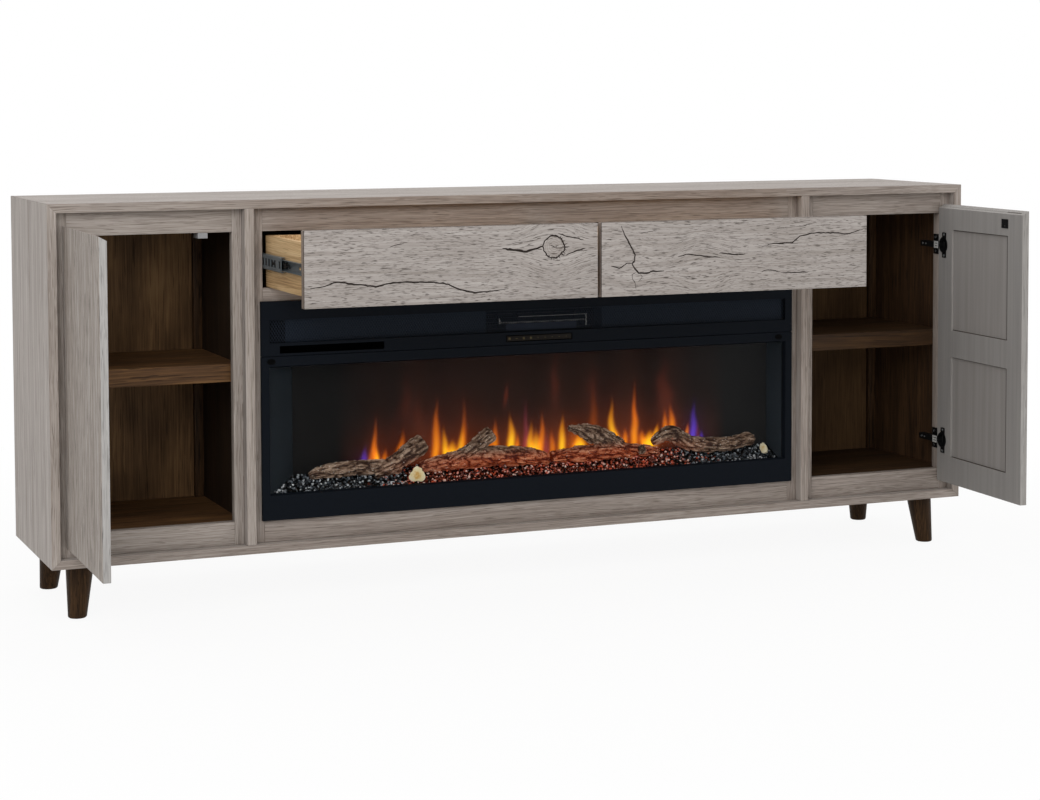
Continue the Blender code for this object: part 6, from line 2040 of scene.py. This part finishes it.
@dataclass
class InsertFront:
    """The insert's front: vent mesh, baffles, display, touch strip and screws."""

    pitch: float = 5.8 * MM
    strand: float = 1.5 * MM
    cross_strand: float = 0.9 * MM
    sheet: float = 0.5 * MM
    lean: float = 0.62
    vent_low: float = 0.5394
    vent_high: float = 0.5874
    baffles: tuple[Flat, Flat] = ((-0.563, -0.1186), (0.1523, 0.596))
    display_corner: Flat = (0.0395, 0.005)
    display_size: Flat = (0.2264, 0.0155)
    strip_half: Flat = (0.0756, 5.6 * MM)
    marks: int = 9
    tall_marks: tuple[int, ...] = (0, 2, 3)
    first_mark: float = -0.069
    mark_step: float = 0.0165
    screws: Flat = (-0.597, 0.583)
    screw_height: float = 0.5014
    element: Flat = (-0.087, 0.1155)
    coil_height: float = 0.559
    wire_height: float = 0.5712

    def build_mesh(self) -> None:
        """Build the expanded mesh: one leaning strand, repeated both ways and trimmed."""
        low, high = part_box("vent_grille")
        height = high.z - low.z
        layers = []
        for way, front, wide in ((-1, low.y, self.strand), (1, low.y + self.sheet, self.cross_strand)):
            strand = start_block(
                f"strands_{way}", (low.x - height * self.lean, front, low.z),
                (low.x - height * self.lean + wide, front + self.sheet, high.z),
            )
            for point in strand.data.vertices:
                point.co.x += way * (point.co.z - (low.z + high.z) / 2) * self.lean
            count = math.ceil((high.x - low.x + 2 * height * self.lean) / self.pitch)
            offset = {"use_relative_offset": False, "use_constant_offset": True}
            step = (self.pitch, 0, 0)
            apply_modifier(strand, "ARRAY", count=count, constant_offset_displace=step, **offset)
            layers.append(strand)
        mesh = join_all("vent_mesh", layers)
        for edge, way in ((low.x, -1), (high.x, 1)):
            plane = {"plane_co": (edge, 0, 0), "plane_no": (way, 0, 0)}
            with editing(mesh):
                bpy.ops.mesh.bisect(use_fill=True, clear_outer=True, threshold=1e-6, **plane)
        fit_piece(mesh, MESH_BLACK, nodes=("vent_grille",))

    def build_small_pieces(self) -> None:
        """Build the baffles, the display and touch strips with their marks, and the screws."""
        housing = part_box("insert_housing")
        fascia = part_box("vent_fascia")
        glass_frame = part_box("glass_frame")
        depth = housing[0].y + 3 * MM
        bottom, top = self.vent_low - 6 * MM, self.vent_high + 5 * MM
        for side, (start, end) in zip(Side, self.baffles):
            name, edge = side.word + "_vent_baffle", side.pick(end, start)
            face = start_block(name, (start, depth, bottom), (end, depth + 0.8 * MM, top))
            back = edge + math.copysign(0.8 * MM, edge)
            fold = start_block("fold", (edge, depth + 0.4 * MM, bottom), (back, depth + 48 * MM, top))
            baffle = ease(join_all(name, [face, fold]), 0.3 * MM, 1)
            fit_piece(baffle, BAFFLE_BLUE)
        front = fascia[0].y
        left, low = fascia[0].x + self.display_corner[0], fascia[0].z + self.display_corner[1]
        right, high = left + self.display_size[0], low + self.display_size[1]
        rim, middle = 0.4 * MM, (fascia[0].z + self.vent_low) / 2
        half, tall = self.strip_half
        outer, outer_tall = half + 1.6 * MM, tall + 1.6 * MM
        display = start_block(
            "display_window", (left + rim, front + 1.6 * MM, low + rim), (right - rim, front + 2.9 * MM, high - rim)
        )
        fit_piece(ease(display, 0.3 * MM), DISPLAY_ACRYLIC)
        bezel = start_block(
            "touch_strip_bezel", (-outer, front - 0.15 * MM, middle - outer_tall),
            (outer, front + 0.2 * MM, middle + outer_tall),
        )
        ends = (-half, front - MM, middle - tall), (half, front + MM, middle + tall)
        subtract(bezel, start_block("opening", *ends))
        fit_piece(bezel, DISPLAY_ACRYLIC)
        strip = start_block(
            "touch_strip", (-half, front + 0.5 * MM, middle - tall), (half, front + 1.15 * MM, middle + tall)
        )
        fit_piece(ease(strip, 0.2 * MM), TOUCH_ACRYLIC)
        marks = []
        for index in range(self.marks):
            across = self.first_mark + index * self.mark_step
            tall = 2.4 * MM if index in self.tall_marks else 0.7 * MM
            wide = 2.6 * MM if index < 4 else 1.0 * MM
            low = (across - wide, front + 0.3 * MM, middle - tall)
            marks.append(start_block("touch_mark", low, (across + wide, front + 0.48 * MM, middle + tall)))
        fit_piece(ease(join_all("touch_marks", marks), 0.05 * MM, 1), GILT_INK)
        for side, across in zip(Side, self.screws):
            seat = glass_frame[0].y
            ends = (0, seat + 0.4 * MM, 0), (0, seat - 1.2 * MM, 0)
            screw = start_rod(side.word + "_glass_screw", *ends, 6 * MM, 24)
            screw.scale = (1.45, 1, 1)
            screw.location = (across, 0, self.screw_height)
            apply_place(screw)
            low = (across - 4 * MM, seat - 2 * MM, self.screw_height - 0.6 * MM)
            high = (across + 4 * MM, seat - 0.7 * MM, self.screw_height + 0.6 * MM)
            subtract(screw, start_block("slot", low, high))
            fit_piece(ease(screw, 0.4 * MM), BLACK_OXIDE)

    def build_element(self) -> None:
        """Build the heating element behind the mesh: coil, stay wire, end brackets and blued strip."""
        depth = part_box("insert_housing")[0].y + 3.1 * MM
        start, end = self.element
        pitch, reach = 5.0 * MM, 1.6 * MM
        section = {"vertices": 6, "radius": 0.5 * MM, "fill_type": "NGON"}
        coil = start_primitive("heating_coil", bpy.ops.mesh.primitive_circle_add, **section)
        for point in coil.data.vertices:
            point.co = (point.co.x, 0.0, point.co.y + reach)
        turns = {"iterations": round((end - start) / pitch), "steps": 12, "render_steps": 12}
        apply_modifier(coil, "SCREW", axis="X", angle=math.radians(360), screw_offset=pitch, **turns)
        coil.location = (start, depth, self.coil_height)
        apply_place(coil)
        with editing(coil):
            bpy.ops.mesh.fill_holes(sides=0)
        merge_and_turn_out(coil)
        only(coil)
        bpy.ops.object.shade_smooth()
        fit_piece(coil, LINK_NICKEL)
        near, far = (-0.044, depth, self.wire_height), (end, depth, self.wire_height)
        stay = start_rod("element_stay_wire", near, far, 0.6 * MM, 12)
        fit_piece(ease(stay, 0.1 * MM, 1), LINK_NICKEL)
        for side, across, low, high in ((Side.LEFT, start, 0.557, 0.569), (Side.RIGHT, end, 0.5465, 0.5725)):
            name = side.word + "_element_bracket"
            bracket = start_block(name, (across - MM, depth - MM, low), (across + MM, depth + 2.4 * MM, high))
            fit_piece(ease(bracket, 0.4 * MM), LINK_NICKEL)
        strip = start_block("blued_deflector", (-0.072, depth + 1.0 * MM, 0.5418), (0.093, depth + 1.7 * MM, 0.5562))
        fit_piece(ease(strip, 0.2 * MM, 1), BLUED_STEEL)

    def build(self) -> None:
        """Build the front's pieces and dress the CAD nodes that stay."""
        self.build_mesh()
        self.build_element()
        self.build_small_pieces()
        finishes = {
            "vent_fascia": POWDER_COAT, "glass_frame": POWDER_COAT, "insert_housing": HOUSING_BLACK,
            # Painted shade: the heater outlet's near-black steel stands for the dark cavity behind the mesh.
            "heater_outlet": SHADED_HEATER_STEEL, "blower_wheel": NYLON, "flame_spindle": MIRROR_STEEL,
            "glass_pane": ClearGlass(),
        }
        for node, finish in finishes.items():
            redress(node, finish)


@dataclass
class FireboxLiners:
    """The folded side walls between the glass and the screen."""

    inner: Flat = (-0.529, 0.5965)
    sheet: float = 1.0 * MM

    def build(self) -> None:
        """Build both liners from a strip whose rear edge is moved inwards."""
        glass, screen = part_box("glass_pane"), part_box("flame_screen")
        front, back = glass[1].y + 0.6 * MM, screen[0].y - 0.6 * MM
        for side, inner in zip(Side, self.inner):
            outer = side.value * (screen[1].x - 0.8 * MM)
            wall = start_block(
                f"{side.word}_firebox_liner", (outer, front, screen[0].z + 0.5 * MM),
                (outer - side.value * self.sheet, back, screen[1].z - 0.5 * MM),
            )
            for point in wall.data.vertices:
                if point.co.y > (front + back) / 2:
                    point.co.x += inner + side.value * self.sheet - outer
            merge_and_turn_out(wall)
            # Painted light: the right liner takes the lighter copy of the coat.
            fit_piece(ease(wall, 0.3 * MM, 1), side.pick(LINER_COAT, LIT_LINER_COAT))


@dataclass
class Studio:
    """The floor, the lamps, the world and the camera at the photograph's angle."""

    location: Point = (-1.9233, -4.543, 1.0578)
    heading_deg: float = -22.527
    pitch_deg: float = -3.3272
    roll_deg: float = -0.1569
    lens: float = 79.67
    shift_up: float = -0.17

    def build_camera(self) -> None:
        """Make the camera and set it as the scene's."""
        data = bpy.data.cameras.new("photo_camera")
        data.lens = self.lens
        data.sensor_width = 36.0
        data.shift_y = self.shift_up
        camera = link_object("photo_camera", data)
        turn = (
            Matrix.Rotation(math.radians(self.heading_deg), 4, "Z")
            @ Matrix.Rotation(math.radians(90 + self.pitch_deg), 4, "X")
            @ Matrix.Rotation(math.radians(self.roll_deg), 4, "Z")
        )
        camera.matrix_world = Matrix.Translation(self.location) @ turn
        bpy.context.scene.camera = camera

    def seen(self, add: partial) -> Node:
        """A node that is 1 for the rays that see the background, also in a mirror or through glass.

        Args:
            add: add_node bound to the tree.

        Returns:
            The node.
        """
        path = add("LightPath").outputs
        seen = add("Math MAXIMUM", (path["Is Camera Ray"], path["Is Glossy Ray"]))
        return add("Math MAXIMUM", (seen, path["Is Transmission Ray"]))

    def build_floor(self) -> None:
        """Make the pale floor, white to the camera away from the object."""
        floor = start_primitive("studio_floor", bpy.ops.mesh.primitive_plane_add, size=40)
        made, (shader, add, place) = start_material("pale_studio_floor")
        wire(shader, {"Base Color": "#f4f4f3", "Roughness": 0.9})
        far = add("VectorMath LENGTH", (place,)).outputs["Value"]
        share = add("MapRange", (far, 1.0, 2.4, 0.92, 1.0), interpolation_type="SMOOTHSTEP")
        share = add("Math MULTIPLY", (share, self.seen(add)))
        white = add("Emission", {"Color": (1, 1, 1, 1), "Strength": 1.0})
        mixed = add("MixShader", (share, shader, white))
        wire(made.node_tree.nodes["Material Output"], {"Surface": mixed})
        floor.data.materials.append(made)

    def build_lights(self) -> None:
        """Make soft lamps and an even pale world."""
        lamps = (
            ("key_softbox", (-3.2, -4.0, 3.2), 3.2, 115.0), ("fill_softbox", (3.4, -3.6, 2.2), 3.0, 30.0),
            ("top_softbox", (0.0, 0.2, 3.6), 3.4, 34.0),
        )
        for name, place, size, power in lamps:
            data = bpy.data.lights.new(name, "AREA")
            data.shape = "SQUARE"
            data.size = size
            data.energy = power
            lamp = link_object(name, data)
            aim = Vector((0.0, 0.0, 0.5)) - Vector(place)
            lamp.matrix_world = Matrix.Translation(place) @ aim.to_track_quat("-Z", "Y").to_matrix().to_4x4()
        world = bpy.data.worlds.new("studio_world")
        world.use_nodes = True
        bpy.context.scene.world = world
        tree = world.node_tree
        add = partial(add_node, tree)
        level = add("MapRange", (self.seen(add), 0.0, 1.0, 0.5, 1.0))
        wire(tree.nodes["Background"], {"Color": (1, 1, 1, 1), "Strength": level})

    def build(self) -> None:
        """Set the stage."""
        self.build_camera()
        self.build_floor()
        self.build_lights()
        bpy.context.scene.view_settings.view_transform = "Standard"


LEFT_KNOTS = (Knot(-0.1006, 0.7435, 0.0235, 0.11, 0.62),)
RIGHT_KNOTS = (Knot(0.235, 0.69, 0.012, 0.1, 0.55, ringed=False), Knot(0.07, 0.705, 0.01, 0.07, 0.3, ringed=False))


def main() -> None:
    """Build and dress the console, then set the stage."""
    logging.basicConfig(level=logging.INFO, format="%(message)s")
    Case().dress()
    CornerBattens().build()
    FaceFrames().build()
    DrawerFront(Side.LEFT, LEFT_CRACKS, LEFT_KNOTS).build(33)
    DrawerFront(Side.RIGHT, RIGHT_CRACKS, RIGHT_KNOTS).build(34)
    Hardware().dress()
    HingeTrim().build()
    SlideTrim().build()
    InsertFront().build()
    FireboxLiners().build()
    FlameScreen().build()
    EmberBed().build()
    Studio().build()


if __name__ == "__main__":
    main()
